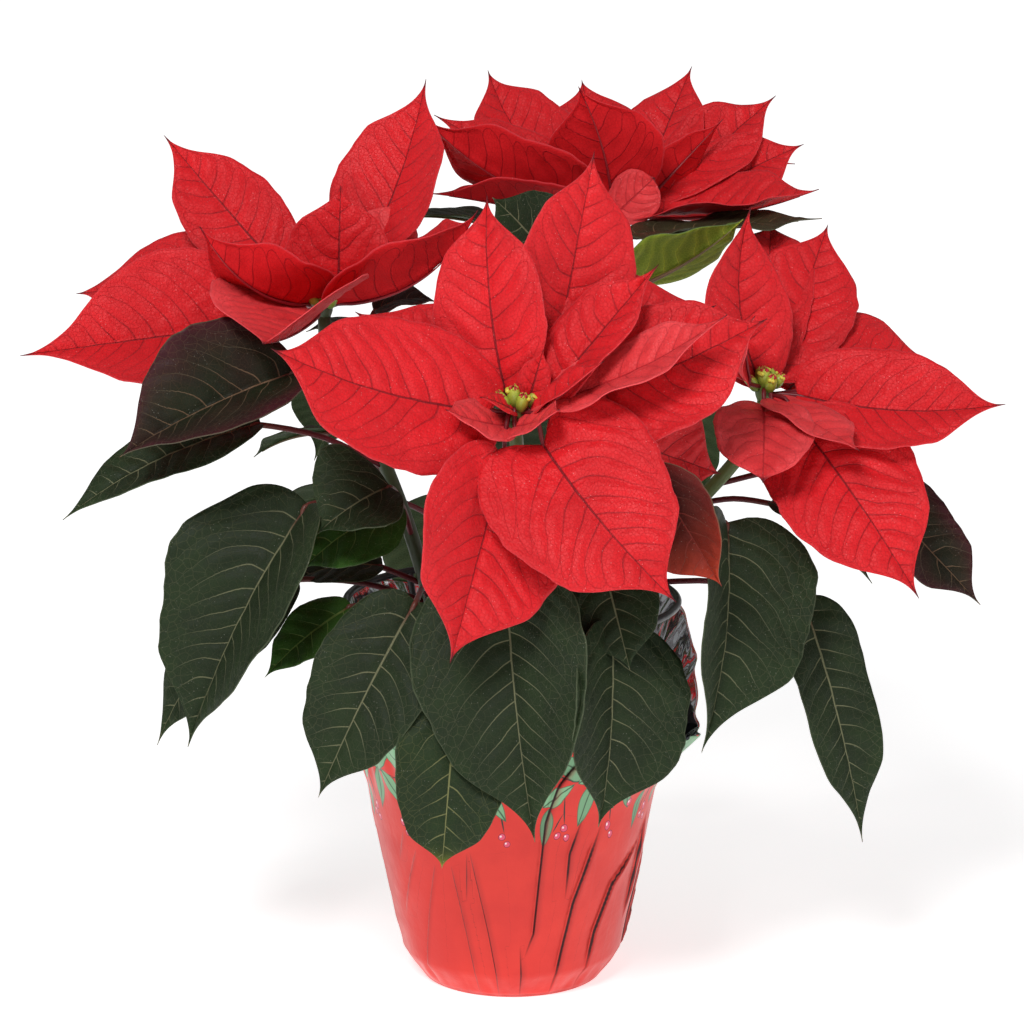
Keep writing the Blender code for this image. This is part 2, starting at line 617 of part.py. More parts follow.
def potting_soil():
    """The soil inside the pot, with a plain hole for each stem and each leg."""
    inner = POT_WALL + GAP + SOIL_EASE
    floor = FOIL + GAP + POT_FLOOR + GAP
    edge = SOIL_TOP - 1
    profile = (
        (0, floor),
        (POT_BOTTOM_R - inner, floor),
        (POT_HEEL_R - inner, POT_HEEL_H + 1 + GAP),
        (pot_radius(edge) - inner, edge),
        (SOIL_KNEE_R, SOIL_TOP + SOIL_CROWN / 2),
        (0, SOIL_TOP + SOIL_CROWN),
    )
    soil = turned("potting_soil", profile, POT_SIDES, "soil")
    above = SOIL_TOP + HOLE_MARGIN
    drills = []
    for where in STEMS:
        x, y, foot = STEMS[where][0]
        bm = bmesh.new()
        path = stem_path(where)
        inside = [place for place in path if place.z < above]
        sweep(bm, [Vector((x, y, HOLE_BOTTOM))] + inside[1:] + [on_stem(path, above)],
              [STEM_R + GAP] * (len(inside) + 1), STEM_SIDES)
        drills.append(add_object("drill_" + where, bm))
    for bearing in RING_LEG_BEARINGS:
        bm = bmesh.new()
        top, foot = ring_leg(bearing)
        way = (foot - top).normalized()
        sweep(bm, [top.lerp(foot, 0.6), foot + way * GAP], [RING_LEG_R + 2 * GAP] * 2, ROD_SIDES)
        drills.append(add_object("drill_%d" % bearing, bm))
    return combine(soil, drills, "DIFFERENCE", "EXACT")


def ring_leg(bearing):
    """The two ends of a leg of the support ring."""
    return (toward(bearing, RING_R, RING_Z), toward(bearing, RING_LEG_FOOT_R, RING_LEG_FOOT_Z))


def support_ring():
    """A round rod above the pot, on legs that stand in the soil."""
    bm = bmesh.new()
    upright = Matrix.Rotation(math.pi / 2, 4, "X")
    bmesh.ops.create_circle(bm, segments=ROD_SIDES, radius=RING_ROD_R,
                            matrix=Matrix.Translation((RING_R, 0, RING_Z)) @ upright)
    bmesh.ops.spin(bm, geom=bm.verts[:] + bm.edges[:], cent=(0, 0, 0), axis=(0, 0, 1),
                   angle=math.tau, steps=RING_STEPS, use_merge=True)
    bmesh.ops.recalc_face_normals(bm, faces=bm.faces)
    ring = add_object("support_ring", bm, "black_plastic")
    legs = []
    for bearing in RING_LEG_BEARINGS:
        top, foot = ring_leg(bearing)
        bm = bmesh.new()
        sweep(bm, [top, foot], [RING_LEG_R] * 2, ROD_SIDES)
        legs.append(add_object("leg_%d" % bearing, bm))
    return combine(ring, legs, "UNION", "MANIFOLD")


def cover_place(bearing, station, inside):
    """A place on the foil at a share of its height, 0 at the crease and 1 at the edge."""
    edge_z = round_loop([(turn, height) for turn, height, radius in COLLAR_EDGE], bearing)
    edge_r = round_loop([(turn, radius) for turn, height, radius in COLLAR_EDGE], bearing)
    if station <= 0.5:
        height = COVER_CREASE_Z + (COLLAR_FROM - COVER_CREASE_Z) * station * 2
        flare = 0
    else:
        share = station * 2 - 1
        height = COLLAR_FROM + (edge_z - COLLAR_FROM) * share
        straight = COVER_CREASE_R + COVER_SLOPE * (edge_z - COVER_CREASE_Z)
        flare = (edge_r - straight) * share ** FLARE_POWER
    slanted = bearing + height * PLEAT_SLANT
    tooth = (slanted * PLEATS / 360) % 1
    pleat = PLEAT_DEPTH * (0.5 - tooth) * min(1, station * PLEAT_GROWTH + PLEAT_FIRST)
    radius = COVER_CREASE_R + COVER_SLOPE * (height - COVER_CREASE_Z) + flare + pleat
    return toward(bearing, radius - (FOIL if inside else 0), height)


def foil_cover():
    """The pleated foil: a floor, a chamfer up to the crease, and the waved wall."""
    steps = PLEATS * STEPS_PER_PLEAT
    rows = len(COVER_STATIONS) * 2 + 2
    bm = bmesh.new()
    corners = [bm.verts.new((1, 0, row)) for row in range(rows)]
    edges = [bm.edges.new(pair) for pair in zip(corners, corners[1:])]
    bmesh.ops.spin(bm, geom=corners + edges, cent=(0, 0, 0), axis=(0, 0, 1),
                   angle=math.tau, steps=steps, use_merge=True)
    for corner in bm.verts:
        row = round(corner.co.z)
        bearing = math.degrees(math.atan2(corner.co.x, -corner.co.y)) % 360
        if row == 0:
            corner.co = toward(bearing, COVER_BASE_R, 0)
        elif row == rows - 1:
            corner.co = toward(bearing, COVER_BASE_R - FOIL, FOIL)
        else:
            inside = row > len(COVER_STATIONS)
            place = rows - 2 - row if inside else row - 1
            corner.co = cover_place(bearing, COVER_STATIONS[place], inside)
    for height in (0, FOIL):
        ring = [edge for edge in bm.edges if edge.is_boundary
                and all(abs(corner.co.z - height) < 0.01 for corner in edge.verts)]
        bmesh.ops.contextual_create(bm, geom=ring)
    bmesh.ops.triangulate(bm, faces=bm.faces, quad_method="FIXED")
    bmesh.ops.recalc_face_normals(bm, faces=bm.faces)
    return add_object("foil_cover", bm, "foil")


def main():
    clear_scene()
    foil_cover()
    nursery_pot()
    potting_soil()
    support_ring()
    for where in STEMS:
        leafy_stem(where)
    for where in BLOOM_CENTRES:
        bloom(where)
        cyathia(where)


main()
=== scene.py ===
"""The looks of a potted poinsettia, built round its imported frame.

Places in the tables are in millimetres. The pot stands on z = 0 with its axis on z,
minus Y is the front and plus X the right. A bearing is in degrees from the front and
grows towards the right.
"""

import math
import random
from collections import namedtuple

import bmesh
import bpy
from bpy.props import FloatProperty, FloatVectorProperty, IntProperty, PointerProperty
from bpy.types import Operator, Panel, PropertyGroup
from mathutils import Matrix, Vector, noise


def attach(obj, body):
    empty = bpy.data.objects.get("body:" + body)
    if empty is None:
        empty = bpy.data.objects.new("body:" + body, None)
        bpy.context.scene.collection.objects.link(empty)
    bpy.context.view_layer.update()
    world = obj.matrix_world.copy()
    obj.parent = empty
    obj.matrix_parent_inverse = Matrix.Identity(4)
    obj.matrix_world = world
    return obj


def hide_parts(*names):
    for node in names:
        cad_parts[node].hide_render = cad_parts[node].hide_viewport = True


bl_info = {
    "name": "Potted Poinsettia",
    "version": (1, 0, 0),
    "blender": (4, 5, 0),
    "location": "View3D > Sidebar > Poinsettia",
    "description": "Bracts, leaves, cups, pot and foil cover of a poinsettia",
    "category": "Object",
}

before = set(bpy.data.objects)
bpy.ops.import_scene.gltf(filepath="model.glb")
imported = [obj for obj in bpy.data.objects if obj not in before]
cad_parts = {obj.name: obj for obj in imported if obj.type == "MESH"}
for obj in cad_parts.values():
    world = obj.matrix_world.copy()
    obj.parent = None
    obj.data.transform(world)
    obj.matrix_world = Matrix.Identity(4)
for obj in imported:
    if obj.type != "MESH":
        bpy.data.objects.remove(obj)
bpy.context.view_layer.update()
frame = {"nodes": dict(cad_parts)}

MM = 0.001
BODY = "root"

# Pot
POT_BOTTOM_R = 44.3
POT_HEEL_R = 54.0
POT_HEEL_H = 15.0
POT_SLOPE = 0.195
POT_WALL = 1.3
POT_FLOOR = 1.6
POT_BASE = 1.1
POT_HEIGHT = 151.0
LIP_R = 82.5
LIP_BAND = 12.0
POT_SIDES = 128

# Soil
SOIL_TOP = 136.0
SOIL_CROWN = 2.0
SOIL_EASE = 1.8
SOIL_SIDES = 140
SOIL_RINGS = 40
SOIL_LUMP = 1.4
CRUMBS = 420
CRUMB_SIZES = (0.7, 2.2)

# Foil cover
COVER_BASE_R = 46.5
COVER_CREASE_R = 57.0
COVER_CREASE_Z = 15.0
COVER_SLOPE = 0.202
COLLAR_FROM = 100.0
FLARE_POWER = 1.5
FOLD_REACH = 30.0
FOLD_PAST = 4
FOLD_FADE = 16
FOIL_STEPS = 460
FRONT_SHARE = 0.45
WALL_ROWS = 96
CHAMFER_ROWS = 5
PRINT_REPEATS = 8
PRINT_WIDTH = 68.0
# Printed leaves and twigs of one repeat: centre along and height above the table,
# turn in degrees, half length and half width. Then berries: centre and radius.
PRINT_LEAVES = (
    (6, 150, 70, 17, 7), (22, 146, 112, 16, 7), (40, 152, 78, 17, 8), (57, 146, 100, 16, 7),
    (14, 129, 20, 15, 6.5), (33, 131, 160, 15, 6.5), (50, 128, 24, 15, 6.5), (66, 131, 150, 14, 6),
    (4, 112, -62, 13, 4.8), (43, 109, -104, 13, 4.6), (58, 112, -55, 12, 4.6), (26, 116, 38, 11, 4.2),
    (20, 98, -98, 11, 3.6),
)
PRINT_TWIGS = (
    (10, 122, 14, 22, 0.9), (44, 122, -12, 22, 0.9), (30, 108, 96, 10, 0.6), (27, 101, 60, 7, 0.5),
    (62, 104, 100, 9, 0.6),
)
PRINT_BERRIES = (
    (31, 97, 2.4), (27, 93, 2.3), (33, 91, 2.2), (62, 94, 2.3), (65, 89, 2.1), (10, 104, 2.2),
)
# Bearing, height and radius of the collar's edge round the pot
COLLAR_EDGE = (
    (20, 172, 97),
    (62, 137, 99),
    (92, 127, 97),
    (135, 186, 114),
    (180, 172, 109),
    (225, 190, 112),
    (270, 119, 79),
    (308, 138, 85),
    (350, 158, 93),
)

# Support ring
RING_R = 85.0
RING_Z = 198.0
RING_ROD_R = 2.0
RING_STEPS = 120
RING_SIDES = 14
RING_LEG_BEARINGS = (40, 130, 220, 310)
RING_LEG_FOOT_R = 64.0
RING_LEG_FOOT_Z = 118.0
RING_LEG_R = 1.8

# Blades
WAVES = 1.4
WAVE_SHIFT = 0.3
BASE_ROUND = 2.2
BASE_POWER = 0.6
BRACT_STALK_R = 1.1
LEAF_STALK_R = 1.5
STALK_BOW = 0.06
SHORT_STALK = 30.0
STALK_ELBOW = 0.7
STALK_CLIMB = 0.35
STALK_SIDES = 10
STEM_R = 4.0
STEM_TOP_R = 3.3
STEM_NECK = 8.0
STEM_SIDES = 20
CORE_R = 4.6
CORE_DOWN = 6.0
CORE_UP = 4.6
ROW_STEP = 1.9
COLUMN_STEP = 2.3
ROW_EASE = 0.4
ROW_LIMITS = (14, 84)
COLUMN_LIMITS = (4, 19)
# Unevenness of a blade: rise and size of its broad and fine swells, rise and count of the
# ruffles at its edge, notches of its outline, and the length from which it has all of them
BROAD_RISE = 2.3
BROAD_SIZE = 24
FINE_RISE = 0.6
FINE_SIZE = 8
RUFFLE_RISE = 1.0
RUFFLES = 2.6
RUFFLES_SPREAD = 1.6
NOTCH = 0.055
FULL_LENGTH = 90
SEED_STEPS = (3.7, 1.3, 7.1)
# Where a blade's midrib shows beneath it, as shares of its length
RIB_PLACES = (0.06, 0.16, 0.3, 0.45, 0.6, 0.75, 0.88)
STALK_STEPS = 4

# Veins: each half's side veins leave the midrib, lean to the tip and close in loops
VEIN_LEAN = 0.18
VEIN_TURN = 0.55
VEIN_CURVE = 1.5
VEIN_SHIFT = 0.4
VEIN_SPACING = 9.8
LOOP_FROM = 0.62
LOOP_SPAN = 0.52
GROOVE = 0.35
GROOVE_WIDTH = 1.3
LEAST_VEINS = 5
VEIN_WANDER = 0.55
FULLNESS = 3.2
TIP_DRAW = 3.0
TIP_STEM = 0.32
TIP_FALL = 0.82
HEEL = 0.03
HEEL_REACH = 0.12
HEEL_GAIN = 3.2
LEAF_VEIN = 0.046
BRACT_POINT = (0.12, 0.003, 0.008)
BLADE_LAYERS = ("vein", "flat", "body", "rib", "back")

# Stage, in metres, watts and the photo's own pixels
FOCAL_PIXELS = 3500
PHOTO_PIXELS = 1024
SENSOR = 36
CLIP_END = 60
CAMERA_PLACE = (0, -1.746, 0.615)
CAMERA_TILT = 78
WORLD_LIGHT = 0.27
# Each light's name, place, aim, size and power
LIGHTS = (
    ("key", (-0.5, -1.7, 1.9), (0, 0, 0.28), 0.7, 34),
    ("fill", (1.6, -1.4, 0.9), (0, 0, 0.22), 1.2, 5),
)
FLOOR_PATCH = (0.88, 0.88, 0.88)
# The floor's own glow near the plant and far off, and the distances where it changes
GLOW = (0.66, 0.88)
GLOW_REACH = (0.25, 2.2)

# A bract grows from its bloom's core and a leaf from its stem at the height root_z.
# tip and joint are places, lean turns the upper face towards the front and side
# towards the right, fold raises both halves, arch bows the midrib up and bend bows it
# to the left as seen along it. peak is the share of the length where a blade is widest,
# taper how far its tip is drawn in, drop lowers a bract's foot and slip moves it right.
Bract = namedtuple("Bract", "tip width lean side arch fold bend peak taper stalk drop tier wave slip",
                   defaults=(0, 0, 0, 0, 0.38, 1.5, 14, 0, 0, 1.5, 0))
Leaf = namedtuple("Leaf", "root_z joint tip width lean side arch fold bend peak taper wave",
                  defaults=(0, 0, 0, 0, 0.36, 1.3, 2.0))

STEMS = {
    "front": ((6, -22, 117.3), (6, -24, 160), (5, -50, 235), (3, -84, 283)),
    "left": ((-34, 4, 117.3), (-36, 4, 165), (-52, -4, 235), (-80, -9, 309)),
    "back": ((22, 32, 117.3), (24, 34, 170), (40, 55, 255), (55, 82, 345)),
    "right": ((38, -8, 117.3), (41, -8, 160), (72, -16, 225), (112, -20, 274)),
    "rear": ((-16, 40, 117.3), (-18, 44, 170), (-28, 62, 235), (-36, 78, 272)),
}
REAR_SHOOT_TIP = (-38, 84, 300)
BLOOM_CENTRES = {
    "front": (2, -95, 315),
    "left": (-94, -10, 352),
    "back": (58, 88, 386),
    "right": (126, -20, 311),
}

BRACTS = {
    "front": (
        Bract((-113, -125, 349), 78, 56, arch=-2, fold=7, bend=5, taper=1.3, stalk=13, tier=-2),
        Bract((-29, -150, 203), 84, 70, side=28, fold=20, stalk=12, drop=16, tier=-3),
        Bract((77, -152, 233), 90, 66, side=4, arch=6, fold=5, bend=-4, peak=0.26, taper=1.35,
              stalk=20, drop=9, tier=-2, slip=-3),
        Bract((122, -92, 358), 70, 57, arch=-3, fold=10, bend=-2, peak=0.42, stalk=24, tier=-2),
        Bract((101, -118, 364), 40, 30, arch=-6, fold=20, stalk=16, tier=1),
        Bract((70, -84, 383), 42, 62, side=-34, fold=24, stalk=14),
        Bract((40, -56, 434), 62, 72, side=24, arch=-3, fold=12, bend=-1, peak=0.48, stalk=24,
              tier=-1),
        Bract((-12, -68, 414), 56, 74, side=-14, arch=3, fold=10, bend=3, peak=0.45, stalk=9,
              tier=-1),
        Bract((15, -98, 344), 17, 60, fold=12, stalk=6, tier=1, wave=0.5),
        Bract((-31, -125, 320), 28, 38, arch=-2, fold=8, stalk=7, drop=8, wave=0.5, slip=1),
        Bract((-15, -114, 324), 12, 40, arch=1, fold=10, stalk=5, drop=3, tier=1, wave=0.3, slip=3),
        Bract((22, -130, 321), 28, 38, arch=-2, fold=8, peak=0.34, stalk=8, drop=8, wave=0.5, slip=-5),
        Bract((43, -119, 342), 18, 30, fold=24, stalk=9, drop=4, wave=0.5),
        Bract((-76, -70, 358), 66, 46, arch=4, fold=6, stalk=18, tier=-4),
        Bract((100, -50, 358), 90, 60, arch=9, fold=5, stalk=28, tier=-4),
        Bract((104, -42, 272), 68, 72, arch=4, fold=5, peak=0.5, stalk=18, tier=-4),
    ),
    "left": (
        Bract((-246, -20, 328), 86, 52, fold=25, peak=0.4, taper=2, stalk=26, drop=4, tier=-3),
        Bract((-224, 36, 351), 70, 50, arch=8, fold=6, stalk=26, tier=-3),
        Bract((-177, 32, 433), 50, 60, arch=-3, fold=8, peak=0.5, taper=1.8, stalk=16, drop=-4),
        Bract((-44, 46, 460), 68, 74, side=-30, arch=-2, fold=20, bend=-3, peak=0.36, taper=1.7,
              stalk=30, drop=-14, tier=-1),
        Bract((-86, 8, 410), 54, 66, arch=3, fold=8, peak=0.34, stalk=16),
        Bract((-152, -50, 397), 60, -32, arch=-12, fold=24, peak=0.3, stalk=10),
        Bract((-17, -42, 404), 60, 2, arch=-12, fold=43, peak=0.42, stalk=10),
        Bract((-120, -86, 345), 98, 18, side=-12, arch=-3, fold=33, peak=0.44, stalk=8, drop=4, tier=1),
        Bract((-51, 26, 402), 38, 55, arch=5, fold=10, stalk=20, tier=-2),
        Bract((-150, 90, 368), 64, -20, arch=8, fold=6, stalk=22, tier=-3),
        Bract((-88, 96, 372), 58, -30, arch=8, fold=6, stalk=20, tier=-4),
    ),
    "back": (
        Bract((-46, 60, 440), 60, -44, arch=-14, fold=24, stalk=16, tier=1),
        Bract((-41, 96, 437), 44, 40, arch=2, fold=8, stalk=18, tier=-2),
        Bract((-43, 44, 402), 54, -10, arch=2, fold=28, stalk=14, drop=3, tier=-4),
        Bract((-13, 150, 456), 60, 52, side=16, arch=-3, fold=14, bend=9, peak=0.56, taper=1.8, stalk=18,
              tier=-1),
        Bract((34, 62, 455), 64, -60, arch=-3, fold=5, bend=4, peak=0.44, taper=1.8, stalk=8, tier=1),
        Bract((97, 150, 458), 46, 60, side=-20, fold=8, peak=0.52, taper=1.9, stalk=14),
        Bract((38, 172, 449), 58, 46, arch=-3, fold=8, peak=0.56, taper=1.8, stalk=18, tier=-2),
        Bract((141, 130, 444), 48, 36, arch=-2, fold=14, peak=0.54, taper=1.9, stalk=16, tier=2),
        Bract((155, 112, 420), 46, 44, fold=12, peak=0.52, taper=1.7, stalk=20, tier=-2),
        Bract((159, 62, 402), 60, 13, arch=-5, fold=28, stalk=16, tier=-2),
        Bract((74, 68, 407), 28, 66, fold=4, peak=0.55, taper=0.6, stalk=20, drop=5, tier=1, wave=0.5,
              slip=-17),
        Bract((111, 102, 434), 26, -50, fold=10, stalk=10, tier=1, wave=0.5),
        Bract((96, 206, 398), 60, -40, arch=9, fold=6, stalk=22, tier=-3),
        Bract((156, 180, 402), 56, -30, side=20, arch=8, fold=6, stalk=22, tier=-4),
        Bract((2, 184, 396), 56, -40, side=-10, arch=9, fold=6, stalk=30, tier=-4),
    ),
    "right": (
        Bract((120, 2, 400), 52, 78, side=26, arch=3, fold=18, bend=11, peak=0.36, taper=1.7, stalk=9),
        Bract((163, 48, 386), 58, 66, arch=-2, fold=8, peak=0.54, taper=1.9, stalk=14, tier=-1),
        Bract((134, 58, 384), 46, 60, arch=3, fold=8, peak=0.6, taper=0.9, stalk=16, tier=-3),
        Bract((208, 20, 322), 64, 46, arch=6, fold=6, peak=0.5, taper=0.9, stalk=24, tier=-3),
        Bract((243, -50, 309), 64, 50, arch=-1, fold=20, bend=-6, stalk=17, tier=-2),
        Bract((198, -90, 220), 76, 66, side=8, arch=7, fold=5, stalk=20, drop=4, tier=-3),
        Bract((168, -88, 293), 34, 40, side=20, fold=10, stalk=7, drop=4, tier=1),
        Bract((121, -92, 278), 50, 52, arch=5, fold=8, peak=0.5, taper=0.8, stalk=10, drop=5),
        Bract((119, -46, 352), 28, 40, side=-50, arch=2, fold=16, bend=5, stalk=13, tier=1, wave=0.8,
              slip=-5),
        Bract((196, 68, 316), 58, -20, side=20, arch=8, fold=6, stalk=22, tier=-4),
        Bract((130, 72, 310), 54, -40, arch=7, fold=6, stalk=20, tier=-4),
    ),
}

LEAVES = {
    "front": (
        Leaf(200, (66, -106, 288), (100, -120, 233), 52, 66, side=-36, fold=26),
        Leaf(218, (-3, -92, 240), (11, -128, 108), 96, 84, side=-22, arch=6, fold=20, peak=0.33),
        Leaf(178, (-27, -102, 176), (-34, -122, 93), 54, 86, arch=4, fold=5, peak=0.42, taper=0.9),
        Leaf(196, (48, -96, 208), (42, -122, 114), 80, 84, side=36, arch=5, fold=24),
        Leaf(226, (44, -86, 238), (57, -110, 189), 46, 80, arch=4, fold=6, wave=0.8),
    ),
    "left": (
        Leaf(290, (-105, -50, 325), (-190, -84, 289), 78, 42, arch=3, fold=32, bend=-2),
        Leaf(268, (-125, -34, 296), (-222, -56, 252), 40, 28, arch=8, fold=12),
        Leaf(262, (-92, 22, 282), (-134, 34, 266), 34, -10, arch=4, fold=8, wave=1),
        Leaf(246, (-101, -48, 258), (-161, -72, 140), 90, 68, side=-34, arch=8, fold=30, peak=0.34),
        Leaf(196, (-111, -14, 212), (-181, -26, 128), 46, 50, side=-20, arch=7, fold=5, bend=-6),
        Leaf(240, (-60, -58, 269), (-95, -74, 249), 62, 56, side=-20, arch=4, fold=26),
        Leaf(232, (-56, -36, 256), (-105, -46, 224), 46, 50, side=-10, arch=6, fold=6),
        Leaf(206, (-66, -2, 216), (-112, -4, 208), 36, 20, arch=5, fold=6, wave=1),
        Leaf(188, (-80, -42, 205), (-123, -62, 173), 30, 50, side=-10, arch=5, fold=6),
        Leaf(200, (-47, -84, 217), (-95, -100, 122), 60, 80, side=-16, arch=7, fold=10),
        Leaf(312, (-70, 8, 346), (-38, 14, 350), 32, 10, arch=4, fold=8, wave=1),
    ),
    "right": (
        Leaf(262, (176, -12, 268), (236, -32, 203), 50, 44, side=16, arch=5, fold=10, bend=-5),
        Leaf(252, (130, -24, 254), (180, -44, 217), 30, 20, side=30, arch=5, fold=6, wave=1),
        Leaf(236, (106, -54, 250), (93, -96, 144), 92, 66, side=42, arch=8, fold=30, peak=0.28,
             taper=1.5),
        Leaf(210, (147, -26, 204), (178, -44, 82), 46, 64, side=24, arch=9, fold=12, bend=-2,
             peak=0.28),
    ),
    "back": (
        Leaf(328, (62, 44, 354), (117, 18, 392), 58, -30, side=-10, arch=-4, fold=12),
        Leaf(336, (58, 50, 379), (160, 52, 388), 46, 4, arch=0, fold=8),
        Leaf(326, (18, 34, 370), (-10, 24, 402), 48, 60, arch=4, fold=6),
        Leaf(334, (8, 84, 374), (-61, 68, 386), 50, 0, arch=5, fold=6),
        Leaf(290, (96, 104, 320), (190, 140, 262), 70, -40, side=50, arch=14, fold=6),
        Leaf(262, (62, 118, 288), (100, 190, 194), 72, -70, side=10, arch=14, fold=6),
    ),
    "rear": (
        Leaf(262, (-60, 128, 300), (-112, 196, 232), 74, -60, side=-20, arch=14, fold=6),
        Leaf(246, (-2, 128, 276), (14, 206, 184), 72, -70, arch=13, fold=6),
        Leaf(220, (-92, 86, 240), (-158, 122, 150), 68, -50, side=-40, arch=12, fold=6),
        Leaf(200, (-30, 124, 224), (-52, 176, 124), 66, -76, arch=9, fold=5),
        Leaf(190, (40, 112, 214), (66, 158, 110), 62, -76, arch=9, fold=5),
        Leaf(276, (-46, 98, 312), (-20, 150, 332), 34, -20, arch=6, fold=8, wave=1),
        Leaf(280, (-66, 84, 318), (-108, 70, 326), 34, 0, arch=6, fold=8, wave=1),
    ),
}

# What a blade has of its own, by its place in the tables above: its tint, how far its base
# reaches back beside its joint as a share of its length, and deeper ribs between its veins.
# The pink tint is partly the bracts' own paler colour and partly painted sheen.
BLADE_TINTS = {
    "bracts": {"front": {4: "pink", 9: "pink", 11: "pink"}, "left": {7: "pink", 8: "pink"},
               "back": {10: "pink"}, "right": {6: "pink", 7: "pink", 8: "pink"}},
    "leaves": {"front": {0: "bronze", 2: "blunt"},
               "left": {0: "maroon", 6: "bright", 8: "bright", 10: "maroon"},
               "right": {0: "maroon"}, "back": {0: "yellow", 1: "brown"}},
}
HEELS = {
    "bracts": {"front": {0: 0.09, 1: 0.08, 2: 0.13, 3: 0.0, 9: 0.10, 11: 0.10},
               "left": {5: 0.12, 6: 0.12}, "back": {9: 0.20, 10: 0.08}, "right": {4: 0.05, 7: 0.08}},
    "leaves": {"front": {1: 0.05, 2: 0.06, 3: 0.05}, "left": {3: 0.05, 9: 0.05}, "back": {0: 0.06},
               "right": {2: 0.07}},
}
RIBBED = {
    "bracts": {"front": {5: 2.4, 7: 2.4, 3: 1.6}, "left": {2: 1.8, 5: 2.2, 6: 1.8},
               "back": {0: 2.2, 4: 2.2, 7: 1.8}, "right": {0: 2.4, 5: 1.7}},
    "leaves": {"left": {1: 1.5}, "back": {0: 2.4}},
}
# Each tint's colours: upper face, its margin and tip, veins, and underside. A high draw
# keeps the tip's colour to the very tip.
Tint = namedtuple("Tint", "top margin tip vein under draw", defaults=(6,))
TINTS = {
    "red": Tint((0.74, 0.010, 0.016), (0.68, 0.012, 0.018), (0.64, 0.010, 0.014),
                (0.20, 0.003, 0.008), (0.62, 0.012, 0.016)),
    # pink: partly the small bracts' own paler colour, partly painted sheen, the pink that light gives
    # them at glancing angles
    "pink": Tint((0.84, 0.050, 0.056), (0.86, 0.078, 0.086), (0.78, 0.036, 0.042),
                 (0.54, 0.014, 0.022), (0.62, 0.024, 0.030)),
    "green": Tint((0.013, 0.022, 0.009), (0.014, 0.025, 0.010), (0.015, 0.030, 0.009),
                  (0.20, 0.20, 0.11), (0.036, 0.062, 0.022)),
    "bright": Tint((0.022, 0.062, 0.008), (0.026, 0.078, 0.010), (0.026, 0.075, 0.010),
                   (0.16, 0.24, 0.06), (0.10, 0.18, 0.04)),
    "blunt": Tint((0.014, 0.026, 0.010), (0.015, 0.028, 0.010), (0.50, 0.52, 0.07),
                  (0.24, 0.24, 0.10), (0.085, 0.13, 0.06), 34),
    "maroon": Tint((0.010, 0.014, 0.006), (0.048, 0.007, 0.013), (0.034, 0.008, 0.011),
                   (0.20, 0.12, 0.07), (0.07, 0.03, 0.03)),
    "bronze": Tint((0.020, 0.006, 0.006), (0.10, 0.008, 0.008), (0.40, 0.035, 0.014),
                   (0.26, 0.04, 0.03), (0.09, 0.03, 0.03), 2.6),
    "yellow": Tint((0.07, 0.13, 0.03), (0.09, 0.15, 0.03), (0.09, 0.15, 0.03),
                   (0.30, 0.30, 0.08), (0.24, 0.33, 0.035)),
    "brown": Tint((0.035, 0.028, 0.014), (0.035, 0.028, 0.014), (0.04, 0.02, 0.014),
                  (0.22, 0.14, 0.07), (0.07, 0.055, 0.03)),
}
# Skin of each stem, dark where leaves shade it
STEM_TINTS = {"front": (0.12, 0.18, 0.05), "left": (0.05, 0.07, 0.03), "back": (0.05, 0.07, 0.03),
              "right": (0.12, 0.18, 0.05), "rear": (0.05, 0.07, 0.03)}
SEEDS = {"front": 11, "left": 23, "back": 37, "right": 51, "rear": 67}

# Cups of a cyathia cluster: distance from the middle, bearing, tilt, size and drop
CUPS = (
    (5.4, -52, 34, 1.0, 3.4),
    (3.0, -8, 12, 1.2, 1.6),
    (5.2, 30, 26, 1.1, 3.6),
    (5.8, 82, 36, 0.95, 2.6),
    (4.6, 134, 24, 0.9, 1.2),
    (4.4, 200, 22, 0.95, 1.0),
    (5.6, 262, 34, 0.9, 2.2),
    (0.8, 170, 6, 1.0, 0.6),
)
CUP_BODY = ((0.0, -2.0), (1.0, -1.8), (1.9, -1.0), (2.4, 0.0), (2.7, 1.4), (2.8, 2.8), (2.65, 4.2),
            (2.3, 5.3), (2.0, 6.0), (1.8, 6.5), (1.5, 6.7), (1.2, 6.4), (0.7, 6.2), (0.0, 6.1))
CUSHION = ((0.0, -3.4), (2.4, -3.2), (4.6, -2.0), (4.9, 0.0), (3.8, 1.8), (1.8, 2.6), (0.0, 2.8))

# The foil's long folds: bearing and height points from the top down, and their depth
FOLDS = (
    (((-35, 71), (-51, 8)), 1.4),
    (((-26, 72), (-19, 13)), 1.2),
    (((-17, 81), (-11, 39), (-7, 8)), 1.5),
    (((-19, 80), (-20, 60)), 0.8),
    (((26, 140), (17, 121), (13, 101), (12, 79), (10, 39), (7, 29)), 1.8),
    (((28, 100), (24, 82), (24, 60)), 1.3),
    (((37, 93), (32, 71), (28, 54), (25, 31), (22, 8)), 1.6),
    (((67, 78), (50, 60), (43, 35), (41, 13)), 1.6),
    (((72, 88), (69, 37)), 1.5),
    (((-45, 77), (-59, 44)), 1.2),
    (((-51, 86), (-55, 75)), 0.9),
    (((4, 29), (5, 4)), 0.8),
    (((-84, 100), (-80, 20)), 1.4),
)


class PlantSizes(PropertyGroup):
    """Sizes of the plant's fine surface"""
    blade_thickness: FloatProperty(name="Blade thickness", description="Thickness of a bract or leaf",
                                   default=0.5 * MM, unit="LENGTH")
    bract_quilt: FloatProperty(name="Bract quilting", description="Rise of a bract between its veins",
                               default=0.65 * MM, unit="LENGTH")
    leaf_quilt: FloatProperty(name="Leaf quilting", description="Rise of a leaf between its veins",
                              default=0.7 * MM, unit="LENGTH")
    foil_thickness: FloatProperty(name="Foil thickness", description="Thickness of the pot's foil cover",
                                  default=0.3 * MM, unit="LENGTH")
    floor_size: FloatProperty(name="Floor size", description="Side of the pale floor",
                              default=24.0, unit="LENGTH")
    crumbs: IntProperty(name="Soil crumbs", description="Number of loose crumbs on the soil",
                        default=CRUMBS)


